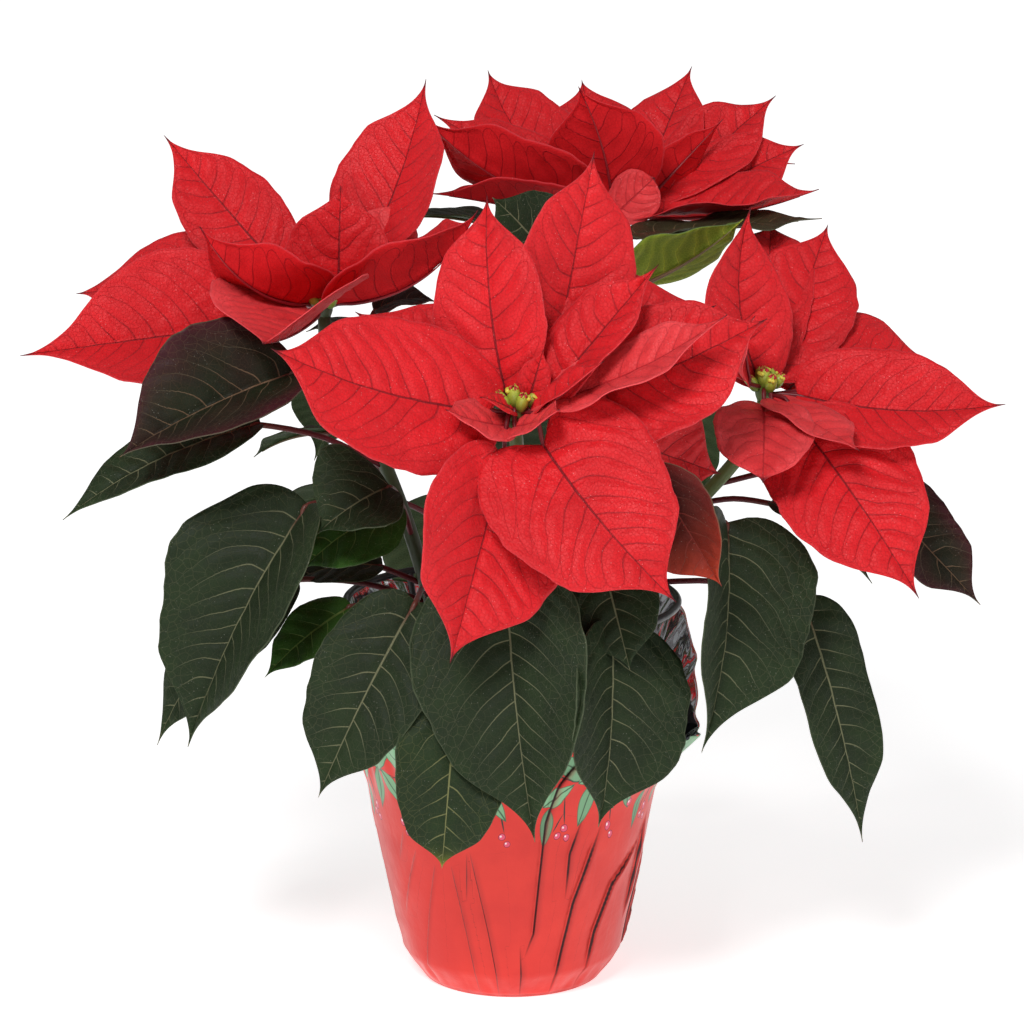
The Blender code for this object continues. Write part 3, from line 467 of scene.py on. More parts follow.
class PlantColours(PropertyGroup):
    """Colours of the cover, the pot and the soil"""
    foil: FloatVectorProperty(name="Foil", description="Outer colour of the foil cover",
                              default=(0.70, 0.042, 0.030), subtype="COLOR")
    sprig: FloatVectorProperty(name="Sprigs", description="Printed leaves of the foil's border",
                               default=(0.19, 0.38, 0.21), subtype="COLOR")
    berry: FloatVectorProperty(name="Berries", description="Printed berries of the foil's border",
                               default=(0.72, 0.09, 0.16), subtype="COLOR")
    pot: FloatVectorProperty(name="Pot", description="Moulded plastic of the pot and the ring",
                             default=(0.012, 0.013, 0.015), subtype="COLOR")
    soil: FloatVectorProperty(name="Soil", description="Damp peat",
                              default=(0.035, 0.020, 0.012), subtype="COLOR")
    floor: FloatVectorProperty(name="Floor", description="Plain pale floor",
                               default=(0.90, 0.90, 0.90), subtype="COLOR")


class Value:
    """A node's output. Arithmetic with it adds the node that works it out."""

    def __init__(self, nodes, socket):
        self.nodes = nodes
        self.socket = socket

    def __add__(self, other):
        return self.nodes.math("ADD", self, other)

    def __sub__(self, other):
        return self.nodes.math("SUBTRACT", self, other)

    def __rsub__(self, other):
        return self.nodes.math("SUBTRACT", other, self)

    def __mul__(self, other):
        return self.nodes.math("MULTIPLY", self, other)

    def __truediv__(self, other):
        return self.nodes.math("DIVIDE", self, other)

    def __abs__(self):
        return self.nodes.math("ABSOLUTE", self)


class Nodes:
    """A node tree, with short calls that add nodes to it."""

    def __init__(self, tree):
        self.tree = tree

    def node(self, kind, *values, **settings):
        node = self.tree.nodes.new(kind)
        for setting, value in settings.items():
            setattr(node, setting, value)
        for socket, value in zip(node.inputs, values):
            self.put(socket, value)
        return node

    def put(self, socket, value):
        if isinstance(value, Value):
            self.tree.links.new(value.socket, socket)
        elif value is not None:
            wide = hasattr(socket.default_value, "__len__") and len(socket.default_value) == 4
            socket.default_value = (*value[:3], 1.0) if wide else value

    def fill(self, node, **values):
        """Puts values into a node's inputs by name."""
        for name, value in values.items():
            self.put(node.inputs[name.replace("_", " ")], value)

    def output(self, node, name=0):
        return Value(self, node.outputs[name])

    def math(self, operation, *values):
        return self.output(self.node("ShaderNodeMath", *values, operation=operation))

    def distance(self, aside, above):
        """The length of a line with these two parts."""
        return self.math("SQRT", aside * aside + above * above)


class Finish(Nodes):
    """A material, with a short call for each kind of pattern in it."""

    def __init__(self, name, roughness=0.5, **fixed):
        self.material = bpy.data.materials.new(name)
        self.material.use_nodes = True
        super().__init__(self.material.node_tree)
        self.shader = self.tree.nodes["Principled BSDF"]
        self.fill(self.shader, Roughness=roughness, **fixed)
        self.place = self.output(self.node("ShaderNodeTexCoord"), "Object")

    def step(self, value, low, high, bottom=0.0, top=1.0):
        """A smooth step of a value, from bottom at low to top at high."""
        return self.output(self.node("ShaderNodeMapRange", value, low, high, bottom, top,
                                     interpolation_type="SMOOTHSTEP"))

    def mix(self, share, first, second, blend="MIX"):
        node = self.node("ShaderNodeMix", data_type="RGBA", blend_type=blend)
        for index, value in ((0, share), (6, first), (7, second)):
            self.put(node.inputs[index], value)
        return self.output(node, 2)

    def scaled(self, colour, factors):
        """A colour with each channel times its factor."""
        return self.mix(1.0, colour, factors, "MULTIPLY")

    def attribute(self, name, output="Color"):
        return self.output(self.node("ShaderNodeAttribute", attribute_name=name), output)

    def split(self, vector):
        parts = self.node("ShaderNodeSeparateXYZ", vector)
        return [self.output(parts, index) for index in range(3)]

    def noise(self, size, detail=2.0, rough=0.5, vector=None):
        """Noise with features of a size in millimetres, from 0 to 1."""
        node = self.node("ShaderNodeTexNoise", vector or self.place)
        self.fill(node, Scale=1 / (size * MM), Detail=detail, Roughness=rough)
        return self.output(node)

    def cells(self, size, feature="DISTANCE_TO_EDGE"):
        """Flat cells of a size in millimetres on a blade's own face."""
        flat = self.attribute("flat", "Vector")
        node = self.node("ShaderNodeTexVoronoi", flat, feature=feature, voronoi_dimensions="2D")
        self.fill(node, Scale=1 / size)
        return node

    def net(self, size, line, core=0.02):
        """The fine lines between cells, full within the core and gone beyond the line."""
        return self.step(self.output(self.cells(size), "Distance"), line, core)

    def specks(self, size, share, dot):
        """Sparse small dots, from 0 to 1."""
        cells = self.cells(size, "F1")
        lone = self.math("GREATER_THAN", self.split(self.output(cells, "Color"))[0], 1 - share)
        return self.step(self.output(cells, "Distance"), dot, dot * 0.6) * lone

    def raised(self, height, pattern, rise):
        """A height with a pattern added to it."""
        return self.math("MULTIPLY_ADD", pattern, rise, height)

    def bump(self, height, distance, strength=1.0):
        node = self.node("ShaderNodeBump")
        self.fill(node, Strength=strength, Distance=distance * MM, Height=height)
        return self.output(node)

    def done(self, colour=None, roughness=None, normal=None):
        self.fill(self.shader, Base_Color=colour, Roughness=roughness, Normal=normal)
        return self.material


def vein_lines(finish, looped=True, thick=0.058):
    """A place along and out on a blade, its share of side vein and midrib, and its
    distance from the middle of its pad."""
    vein = finish.node("ShaderNodeAttribute", attribute_name="vein")
    along, across, phase = finish.split(finish.output(vein, "Vector"))
    reach = abs(across)
    turn = finish.math("MULTIPLY_ADD", finish.math("GREATER_THAN", across, 0.0), VEIN_SHIFT, phase)
    ring = abs(finish.math("FRACT", turn) - 0.5)
    if looped:
        beyond = finish.math("MAXIMUM", (reach - LOOP_FROM) / LOOP_SPAN, 0.0)
        ring = finish.distance(ring, beyond)
    off = abs(ring - 0.5)
    width = finish.step(reach, 0.0, 0.8, thick, thick * 0.4)
    side = 1.0 - finish.step(off / width, 0.35, 1.0)
    rib_width = finish.step(along, 0.0, 1.0, 0.85, 0.28)
    rib = 1.0 - finish.step(finish.output(vein, "Alpha") / rib_width, 0.5, 1.0)
    return along, reach, side, rib, ring


def bract_top():
    finish = Finish("bract_velvet", 0.5, Sheen_Weight=0.10, Sheen_Roughness=0.5,
                    Sheen_Tint=(1.0, 0.40, 0.44), Specular_IOR_Level=0.26)
    along, reach, side, rib, ring = vein_lines(finish)
    body = finish.attribute("body")
    dark = finish.attribute("rib")
    patch = finish.noise(22, 3, 0.55)
    colour = finish.mix(finish.step(patch, 0.35, 0.7, 0.0, 0.42), body, (0.50, 0.005, 0.009))
    # Painted shade: the bract is darkened in the sunken grooves beside its veins, fading out near the
    # margin
    painted_groove_shade = finish.step(ring, 0.30, 0.5, 0.0, 0.16)
    colour = finish.mix(painted_groove_shade * finish.step(reach, 0.95, 0.4), colour, (0.42, 0.004, 0.009))
    mesh = finish.net(1.9, 0.10)
    colour = finish.mix(mesh * 0.14, colour, dark)
    colour = finish.mix(side * finish.step(reach, 0.15, 0.72, 0.52, 0.07), colour, dark)
    colour = finish.mix(rib * finish.step(along, 0.0, 0.9, 0.95, 0.55), colour, dark)
    colour = finish.mix(finish.step(along, 0.93, 0.985), colour, BRACT_POINT)
    dusty = finish.step(finish.noise(13), 0.42, 0.62, 0.0, 0.5)
    colour = finish.mix(finish.specks(2.3, 0.2, 0.10) * dusty, colour, (0.90, 0.42, 0.42))
    # Painted highlight: a paler rim along the margin, where light catches the bract's edge
    colour = finish.mix(finish.step(reach, 0.975, 0.997) * 0.22, colour, (0.80, 0.10, 0.12))
    height = finish.step(ring, 0.5, 0.0) * 0.7 - (side * 0.35 + rib * 0.6)
    height = finish.raised(height, mesh, -0.16)
    height = finish.raised(height, finish.noise(6.5, 4, 0.62), 2.2)
    return finish.done(colour, finish.step(patch, 0.3, 0.7, 0.46, 0.58), finish.bump(height, 0.65))


def bract_under():
    finish = Finish("bract_underside", 0.6, Sheen_Weight=0.02, Sheen_Roughness=0.5,
                    Sheen_Tint=(1.0, 0.4, 0.42), Specular_IOR_Level=0.08)
    along, reach, side, rib, ring = vein_lines(finish)
    back = finish.attribute("back")
    dark = finish.attribute("rib")
    patch = finish.noise(18, 3, 0.55)
    colour = finish.mix(finish.step(patch, 0.3, 0.7, 0.0, 0.4), back, (0.36, 0.005, 0.008))
    mesh = finish.net(1.9, 0.12)
    for pattern, share in ((mesh, 0.16), (side, 0.55), (rib, 0.8)):
        colour = finish.mix(pattern * share, colour, dark)
    colour = finish.mix(finish.step(along, 0.93, 0.985), colour, BRACT_POINT)
    # Painted highlight: a paler rim along the margin, where light catches the bract's edge
    colour = finish.mix(finish.step(reach, 0.965, 0.995) * 0.4, colour, (0.72, 0.08, 0.10))
    height = finish.raised(side + rib * 1.2, mesh, 0.25)
    return finish.done(colour, None, finish.bump(height, 0.35, 0.8))


def leaf_top():
    finish = Finish("leaf_satin", 0.5, Sheen_Weight=0.012, Sheen_Roughness=0.4,
                    Sheen_Tint=(0.75, 0.85, 0.70), Specular_IOR_Level=0.16)
    along, reach, side, rib, ring = vein_lines(finish, looped=False, thick=LEAF_VEIN)
    body = finish.attribute("body")
    pale = finish.attribute("rib")
    patch = finish.noise(16, 3, 0.55)
    colour = finish.mix(finish.step(patch, 0.35, 0.7, 0.0, 0.6), body,
                        finish.scaled(body, (1.5, 1.6, 1.3)))
    loops = finish.net(4.2, 0.045, 0.012)
    grain = finish.noise(0.9, 2, 0.6)
    colour = finish.mix(finish.step(grain, 0.60, 0.75, 0.0, 0.10), colour, pale)
    fine = finish.net(1.4, 0.09)
    colour = finish.mix(fine * 0.05, colour, pale)
    colour = finish.mix(loops * finish.step(reach, 0.1, 0.9, 0.06, 0.22), colour, pale)
    far = finish.mix(finish.step(reach, 0.1, 0.7), pale, finish.mix(0.5, pale, (0.14, 0.16, 0.11)))
    colour = finish.mix(side * finish.step(reach, 0.2, 0.9, 0.72, 0.30), colour, far)
    rib_colour = finish.mix(finish.step(along, 0.02, 0.16), (0.13, 0.016, 0.016), pale)
    colour = finish.mix(rib * 0.85, colour, rib_colour)
    colour = finish.mix(finish.step(reach, 0.978, 0.998) * 0.35, colour, (0.16, 0.19, 0.11))
    dusty = finish.step(finish.noise(11), 0.40, 0.62, 0.0, 0.35)
    colour = finish.mix(finish.specks(2.0, 0.16, 0.11) * dusty, colour, (0.5, 0.5, 0.42))
    height = finish.step(ring, 0.5, 0.0) * 0.8 - (side * 0.4 + rib * 0.7)
    for pattern, rise in ((loops, -0.22), (fine, -0.15), (grain, 0.3)):
        height = finish.raised(height, pattern, rise)
    roughness = finish.step(patch, 0.3, 0.7, 0.48, 0.60)
    return finish.done(colour, roughness, finish.bump(height, 0.5, 0.9))


def leaf_under():
    finish = Finish("leaf_underside", 0.6, Sheen_Weight=0.01, Specular_IOR_Level=0.12)
    along, reach, side, rib, ring = vein_lines(finish, looped=False, thick=LEAF_VEIN)
    back = finish.attribute("back")
    patch = finish.noise(14, 3, 0.55)
    colour = finish.mix(finish.step(patch, 0.3, 0.7, 0.0, 0.4), back,
                        finish.scaled(back, (0.7, 0.75, 0.7)))
    bright = finish.scaled(back, (2.3, 2.0, 2.1))
    # Painted shade: the middles of the pads, hollow when seen from beneath, are darkened
    painted_pad_shade = finish.step(ring, 0.46, 0.1, 0.0, 0.6)
    colour = finish.mix(painted_pad_shade, colour, finish.scaled(back, (0.45, 0.55, 0.4)))
    net = finish.net(1.8, 0.12)
    for pattern, share in ((net, 0.22), (side, 0.6), (rib, 0.8)):
        colour = finish.mix(pattern * share, colour, bright)
    height = finish.raised(side + rib * 1.2, net, 0.3)
    return finish.done(colour, None, finish.bump(height, 0.4, 0.9))


def stalk_finish():
    finish = Finish("stalk_skin", 0.45, Specular_IOR_Level=0.45)
    body = finish.attribute("body")
    patch = finish.noise(5, 3, 0.6)
    colour = finish.mix(finish.step(patch, 0.3, 0.7, 0.0, 0.35), body,
                        finish.scaled(body, (0.6, 0.6, 0.6)))
    return finish.done(colour, None, finish.bump(finish.noise(1.2, 3, 0.6), 0.15, 0.6))


def cup_finish():
    finish = Finish("cup_skin", 0.35, Specular_IOR_Level=0.5)
    body = finish.attribute("body")
    patch = finish.noise(1.6, 3, 0.6)
    colour = finish.mix(finish.step(patch, 0.35, 0.7, 0.0, 0.4), body,
                        finish.scaled(body, (0.65, 0.75, 0.6)))
    return finish.done(colour, None, finish.bump(patch, 0.12, 0.6))


def leaf_print_group():
    """A printed leaf: how far a place lies inside a lens shape, and how near its rib."""
    tree = bpy.data.node_groups.new("leaf_print", "ShaderNodeTree")
    for name in ("X", "Y", "Centre X", "Centre Y", "Turn", "Length", "Width"):
        tree.interface.new_socket(name, in_out="INPUT", socket_type="NodeSocketFloat")
    for name in ("Inside", "Rib"):
        tree.interface.new_socket(name, in_out="OUTPUT", socket_type="NodeSocketFloat")
    group = Nodes(tree)
    entry = group.node("NodeGroupInput")
    spot_x, spot_y, centre_x, centre_y, turn, length, width = [
        group.output(entry, index) for index in range(7)]
    half = PRINT_WIDTH / 2
    x = group.math("WRAP", spot_x - centre_x, half, -half)
    y = spot_y - centre_y
    cosine, sine = group.math("COSINE", turn), group.math("SINE", turn)
    along = x * cosine + y * sine
    across = abs(y * cosine - x * sine)
    share = along / length
    skew = group.math("MAXIMUM", group.math("MULTIPLY_ADD", share, -0.35, 1.0), 0.2)
    inside = (1.0 - share * share) * skew * width - across
    group.node("NodeGroupOutput", inside, across)
    return tree


def printed_border(finish, colours, ground):
    """Sprigs of sage green leaves and pink berries, printed round the foil's upper third."""
    x, y, away = finish.split(finish.attribute("print", "Vector"))
    x = x * (PRINT_REPEATS * PRINT_WIDTH)
    y = y + (finish.noise(14) - 0.5) * 5.0
    group = leaf_print_group()
    half = PRINT_WIDTH / 2
    dark = [shade * 0.32 for shade in colours.sprig]
    colour = ground

    def printed_leaf(middle, height, turn, length, width):
        leaf = finish.node("ShaderNodeGroup", x, y, middle, height, math.radians(turn), length, width,
                           node_tree=group)
        return finish.output(leaf, "Inside"), finish.output(leaf, "Rib")

    for twig in PRINT_TWIGS:
        inside, rib = printed_leaf(*twig)
        colour = finish.mix(finish.step(inside, 0.0, 0.25), colour, (0.03, 0.035, 0.03))
    for index, leaf in enumerate(PRINT_LEAVES):
        inside, rib = printed_leaf(*leaf)
        green = [shade * (0.8 + 0.14 * (index % 4)) for shade in colours.sprig]
        fill = finish.mix(finish.step(inside, 0.9, 0.3), green, dark)
        fill = finish.mix(finish.step(rib, 0.55, 0.25), fill, dark)
        colour = finish.mix(finish.step(inside, 0.0, 0.3), colour, fill)
    for middle, height, radius in PRINT_BERRIES:
        aside = finish.math("WRAP", x - middle, half, -half)
        above = y - height
        far = finish.distance(aside, above)
        glint = finish.distance(aside + 0.7, above - 0.6)
        fill = finish.mix(finish.step(glint, 0.8, 0.4), colours.berry, (0.9, 0.75, 0.78))
        fill = finish.mix(finish.step(far, radius * 0.78, radius * 0.9), fill, (0.10, 0.01, 0.03))
        colour = finish.mix(finish.step(far, radius, radius * 0.92), colour, fill)
    return colour, away


def foil_outside(colours):
    finish = Finish("foil_satin", 0.36, Metallic=0.45, Specular_IOR_Level=0.5)
    patch = finish.noise(30, 3, 0.6)
    ground = finish.mix(finish.step(patch, 0.3, 0.7, 0.0, 0.5), colours.foil, (0.58, 0.030, 0.026))
    colour, away = printed_border(finish, colours, ground)
    # Painted shadow along the folds: the crease layer gives each fold's strength, shade is a broad band
    # of painted shade beside the fold and line is a near-black painted shadow line on it
    fold = finish.attribute("crease", "Fac")
    line = finish.step(abs(away), 0.55, 0.12)
    shade = finish.step(away, 4.0, 0.0) * finish.step(away, -0.4, 0.0, 0.0, 0.45)
    colour = finish.mix(shade * fold, colour, (0.30, 0.020, 0.020))
    colour = finish.mix(line * fold, colour, (0.025, 0.003, 0.004))
    roughness = finish.step(patch, 0.3, 0.7, 0.28, 0.40)
    return finish.done(colour, roughness, finish.bump(finish.noise(7, 4, 0.6), 0.6, 0.5))


def foil_inside():
    finish = Finish("foil_silver", 0.12, Metallic=1.0, Base_Color=(0.72, 0.74, 0.77))
    drawn = finish.node("ShaderNodeMapping", finish.place)
    finish.fill(drawn, Scale=(1.0, 1.0, 0.12))
    return finish.done(None, None, finish.bump(finish.noise(7, 1, 0.5, finish.output(drawn)), 1.3))


def black_plastic(colours):
    finish = Finish("moulded_plastic", 0.38, Specular_IOR_Level=0.5)
    grain = finish.noise(1.0, 3, 0.6)
    dust = finish.noise(12, 4, 0.65)
    colour = finish.mix(finish.step(dust, 0.45, 0.75, 0.0, 0.5), colours.pot, (0.035, 0.033, 0.030))
    roughness = finish.step(dust, 0.35, 0.75, 0.32, 0.55)
    return finish.done(colour, roughness, finish.bump(grain, 0.08, 0.4))


def peat(colours):
    finish = Finish("damp_peat", 0.95, Specular_IOR_Level=0.2)
    grain = finish.noise(2.2, 5, 0.7)
    patch = finish.noise(9, 3, 0.6)
    colour = finish.mix(finish.step(patch, 0.3, 0.7), colours.soil, (0.075, 0.045, 0.028))
    colour = finish.mix(finish.step(grain, 0.58, 0.68), colour, (0.16, 0.11, 0.07))
    return finish.done(colour, None, finish.bump(grain, 1.2, 0.9))


def floor_finish(colours):
    """A white sweep, lit a little from beneath, more so far off."""
    finish = Finish("pale_floor", 0.9, Specular_IOR_Level=0.0, Emission_Color=(1.0, 1.0, 1.0))
    colour = finish.mix(finish.step(finish.noise(400), 0.3, 0.7, 0.0, 0.3), colours.floor, FLOOR_PATCH)
    far = finish.output(finish.node("ShaderNodeVectorMath", finish.place, operation="LENGTH"), "Value")
    finish.fill(finish.shader, Emission_Strength=finish.step(far, *GLOW_REACH, *GLOW))
    return finish.done(colour)


def toward(bearing, radius, height=0.0):
    """The place at a bearing from the front, a distance out and a height up."""
    turn = math.radians(bearing)
    return Vector((math.sin(turn) * radius, -math.cos(turn) * radius, height))


def round_loop(knots, bearing):
    """A smooth value round the pot through (bearing, value) knots."""
    count = len(knots)
    for index, (start, value) in enumerate(knots):
        after, after_value = knots[(index + 1) % count]
        span = (after - start) % 360
        step = (bearing - start) % 360
        if step < span:
            share = step / span
            ease = share * share * (3 - 2 * share)
            return value + (after_value - value) * ease
    return knots[0][1]


def smooth_path(points, steps):
    """A Catmull-Rom curve through the points."""
    places = [Vector(point) for point in points]
    places = [2 * places[0] - places[1]] + places + [2 * places[-1] - places[-2]]
    path = []
    for before, start, end, after in zip(places, places[1:], places[2:], places[3:]):
        for step in range(steps):
            t = step / steps
            path.append(0.5 * (2 * start + (end - before) * t
                               + (2 * before - 5 * start + 4 * end - after) * t * t
                               + (3 * start - before - 3 * end + after) * t ** 3))
    return path + [places[-2]]


def tube(bm, path, radii, sides, colours=None, axis=None):
    """A round rod along a path or turned about an axis: a rolled grid with merged seam and ends."""
    count = len(path)
    frames = []
    heading = axis or (path[1] - path[0]).normalized()
    aside = heading.orthogonal().normalized()
    for index in range(count):
        if not axis:
            ahead = (path[min(index + 1, count - 1)] - path[max(index - 1, 0)]).normalized()
            aside = heading.rotation_difference(ahead) @ aside
            heading = ahead
        frames.append((aside, aside.cross(heading)))
    body = bm.verts.layers.float_color.get("body")
    grid = bmesh.ops.create_grid(bm, x_segments=count - 1, y_segments=sides, size=1.0)["verts"]
    for corner in grid:
        row = round((corner.co.x + 1) / 2 * (count - 1))
        turn = (corner.co.y + 1) * math.pi
        right, up = frames[row]
        corner.co = path[row] + (right * math.cos(turn) + up * math.sin(turn)) * radii[row]
        if colours:
            corner[body] = (*colours[row], 1.0)
    bmesh.ops.remove_doubles(bm, verts=grid, dist=0.002)


def rod(bm, path, radii, sides, colours=None):
    """A tube with both ends drawn in and closed."""
    start = path[0] - (path[1] - path[0]).normalized() * radii[0] * 0.25
    end = path[-1] + (path[-1] - path[-2]).normalized() * radii[-1] * 0.25
    tints = [colours[0], *colours, colours[-1]] if colours else None
    tube(bm, [start, *path, end], [0.0, *radii, 0.0], sides, tints)


def new_mesh(*layers):
    """An empty bmesh with colour layers of these names."""
    bm = bmesh.new()
    for name in layers:
        bm.verts.layers.float_color.new(name)
    return bm


def spin_round(bm, outline_parts, steps):
    """Spins an outline once round the pot's axis."""
    bmesh.ops.spin(bm, geom=outline_parts, cent=(0, 0, 0), axis=(0, 0, 1),
                   angle=math.tau, steps=steps, use_merge=True)


def add_object(name, bm, materials):
    """An object from a bmesh worked out in millimetres."""
    bmesh.ops.scale(bm, vec=(MM, MM, MM), verts=bm.verts)
    bm.normal_update()
    mesh = bpy.data.meshes.new(name)
    bm.to_mesh(mesh)
    bm.free()
    piece = bpy.data.objects.new(name, mesh)
    bpy.context.scene.collection.objects.link(piece)
    for finish in materials:
        mesh.materials.append(finish)
    return piece


def add_piece(name, bm, materials, node):
    """A smooth object that rides on the body and replaces a node."""
    piece = add_object(name, bm, materials)
    piece.data.shade_smooth()
    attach(piece, BODY)
    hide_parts(node)
    return piece


def thicken(piece, thickness, offset):
    """A live wall of even thickness, whose inner face takes the second material."""
    wall = piece.modifiers.new("wall", "SOLIDIFY")
    wall.thickness = thickness
    wall.offset = offset
    wall.material_offset = 1
    wall.use_even_offset = False


def outline(u, peak, taper):
    """Half width of a blade, from 0 to 1, at the share u of its length."""
    if u < peak:
        return (1 - (1 - u / peak) ** BASE_ROUND) ** BASE_POWER
    far = (u - peak) / (1 - peak)
    drawn = min(1, TIP_DRAW * (1 - far) / taper)
    drawn = TIP_STEM * drawn + (1 - TIP_STEM) * drawn * drawn * (3 - 2 * drawn)
    return (1 - TIP_FALL * far ** (FULLNESS - taper)) * drawn


def blade_frame(joint, tip, lean, side):
    """The directions along, across and out of a blade's upper face."""
    along = (tip - joint).normalized()
    lean, side = math.radians(lean), math.radians(side)
    face = Vector((math.sin(side), -math.sin(lean) * math.cos(side),
                   math.cos(lean) * math.cos(side)))
    out = (face - face.dot(along) * along).normalized()
    return along, out.cross(along), out


def blade_point(u, t, joint, tip, frame, blade, lift=0.0, swell=1.0):
    """The place on a blade at u along its midrib and t across, from -1 to 1."""
    across, out = frame[1], frame[2]
    share = outline(u, blade.peak, blade.taper)
    half = blade.width / 2 * share * swell
    fold = math.radians(blade.fold)
    ripple = blade.wave * math.sin(math.tau * (WAVES * u + WAVE_SHIFT * t)) * t * t * share
    bow = 4 * u * (1 - u)
    place = joint.lerp(tip, u) + out * blade.arch * bow + across * blade.bend * bow
    spread = across * half * t * math.cos(fold)
    return place + spread + out * (half * abs(t) * math.sin(fold) + ripple + lift)


def quilting(phase, t):
    """Rise of a pad between two side veins, from 0 on a vein to 1 at its middle."""
    turn = phase + (VEIN_SHIFT if t > 0 else 0)
    aside = abs(turn % 1 - 0.5)
    beyond = max(0, (abs(t) - LOOP_FROM) / LOOP_SPAN)
    ring = 2 * math.hypot(aside, beyond)
    return max(0, 1 - ring * ring)


def blend_colours(first, second, share):
    return [a + (b - a) * share for a, b in zip(first, second)]


def within(value, limits):
    return max(limits[0], min(limits[1], value))


def blade_sheet(bm, joint, tip, blade, tint, quilt, heel, seed):
    """A bract or leaf: a fine grid on the curved face, quilted between its veins."""
    frame = blade_frame(joint, tip, blade.lean, blade.side)
    along = tip - joint
    length = along.length
    rows = within(round(length / ROW_STEP), ROW_LIMITS)
    columns = 2 * within(round(blade.width / COLUMN_STEP / 2), COLUMN_LIMITS)
    veins = max(LEAST_VEINS, length / VEIN_SPACING)
    shift = Vector([seed * step for step in SEED_STEPS])
    ruffles = RUFFLES + RUFFLES_SPREAD * noise.noise(shift)
    vein, flat, body, rib, back = [bm.verts.layers.float_color[name] for name in BLADE_LAYERS]
    colours = TINTS[tint]
    grid = bmesh.ops.create_grid(bm, x_segments=rows, y_segments=columns, size=1.0)["verts"]
    for corner in grid:
        s = (corner.co.x + 1) / 2
        t = corner.co.y
        u = s - ROW_EASE * math.sin(math.tau * s) / math.tau
        share = outline(u, blade.peak, blade.taper)
        aside = abs(t) * share * blade.width / 2
        reach = aside / length
        side_seed = shift if t > 0 else -shift
        wander = VEIN_WANDER * min(1, aside / 8) * noise.noise(side_seed + Vector((u * 6, 0, 0)))
        lean = VEIN_LEAN + VEIN_TURN * u
        phase = veins * (u - lean * reach - VEIN_CURVE * reach * reach) + wander
        groove = math.exp(-(aside / GROOVE_WIDTH) ** 2)
        near_rib = min(1, aside / 3)
        lift = quilt * quilting(phase, t) * near_rib - GROOVE * groove
        place = blade_point(u, t, joint, tip, frame, blade)
        broad = noise.noise(place / BROAD_SIZE + shift)
        fine = noise.noise(place / FINE_SIZE + shift)
        ruffle = math.sin(math.tau * ruffles * u + seed + (1.7 if t > 0 else 0))
        edge = abs(t) ** 3
        room = min(1, share * 1.5)
        uneven = BROAD_RISE * broad * abs(t) + FINE_RISE * fine + RUFFLE_RISE * ruffle * edge
        lift += uneven * room * min(1, length / FULL_LENGTH)
        notch = noise.noise(side_seed + Vector((u * 5, 0, 0)))
        notch += 0.55 * noise.noise(side_seed + Vector((u * 17, 3, 0)))
        swell = 1 + NOTCH * notch
        slide = HEEL_GAIN * heel * abs(t) ** 1.2 * math.exp(-u / HEEL_REACH) * share
        corner.co = blade_point(u, t, joint, tip, frame, blade, lift, swell) - along * slide
        corner[vein] = (u, t, phase, aside)
        corner[flat] = (u * length, t * share * blade.width / 2, seed * 31.0, 1.0)
        tone = blend_colours(colours.top, colours.margin, min(1, abs(t) ** 3 + 0.6 * max(0, broad)))
        tone = blend_colours(tone, colours.tip, u ** colours.draw)
        corner[body] = (*tone, 1.0)
        corner[rib] = (*colours.vein, 1.0)
        corner[back] = (*colours.under, 1.0)
    bmesh.ops.remove_doubles(bm, verts=grid, dist=0.005)


def stalk_rod(bm, start, joint, tip, radius, blade, colour, rib_colour):
    """A stalk through a low bow to the blade's foot, and on beneath it as its midrib."""
    frame = blade_frame(joint, tip, blade.lean, blade.side)
    reach = (joint - start).length
    if getattr(blade, "drop", 0) > 0:
        middle = [start + (joint - start) * Vector((STALK_ELBOW, STALK_ELBOW, 0))]
    elif reach > SHORT_STALK:
        middle = [start.lerp(joint, 0.5) + Vector((0, 0, STALK_BOW * reach))]
    else:
        middle = []
    points = [start, *middle, joint - frame[2] * radius * 0.6]
    widths = [radius * (0.85 - 0.8 * u) for u in RIB_PLACES]
    points += [blade_point(u, 0, joint, tip, frame, blade) - frame[2] * (0.5 + 0.85 * width)
               for u, width in zip(RIB_PLACES, widths)]
    path = smooth_path(points, STALK_STEPS)
    knots = [radius] * (len(points) - len(RIB_PLACES)) + widths
    radii = []
    tints = []
    for index in range(len(path)):
        low, share = divmod(index / STALK_STEPS, 1)
        low = min(int(low), len(knots) - 1)
        high = min(low + 1, len(knots) - 1)
        radii.append(knots[low] + (knots[high] - knots[low]) * share)
        passed = within((index / STALK_STEPS - 1) / (len(knots) - 2), (0, 1))
        tints.append(blend_colours(colour, rib_colour, passed))
    rod(bm, path, radii, STALK_SIDES, tints)


def stem_path(where, steps=7):
    """The stem's line, from its hole in the soil to its flat top."""
    points = list(STEMS[where])
    if where in BLOOM_CENTRES:
        centre = Vector(BLOOM_CENTRES[where])
        neck = centre - Vector((0, 0, CORE_DOWN + STEM_NECK))
        return smooth_path(points + [neck], steps) + [centre - Vector((0, 0, CORE_DOWN))]
    return smooth_path(points + [REAR_SHOOT_TIP], steps)


def on_stem(path, height):
    """The place where a stem's line passes a height."""
    for low, high in zip(path, path[1:]):
        if low.z <= height <= high.z:
            return low.lerp(high, (height - low.z) / (high.z - low.z))
    return path[-1]


def bract_joint(where, bract):
    """A bract's start on the core and the joint where its blade begins."""
    centre = Vector(BLOOM_CENTRES[where])
    tip = Vector(bract.tip)
    level = ((tip - centre) * Vector((1, 1, 0))).normalized()
    rise = (tip.z - centre.z) / (tip - centre).length
    middle = centre + Vector((0, 0, bract.tier))
    climb = bract.stalk * STALK_CLIMB * rise - bract.drop
    return middle, middle + level * bract.stalk + Vector((bract.slip, 0, climb)), tip


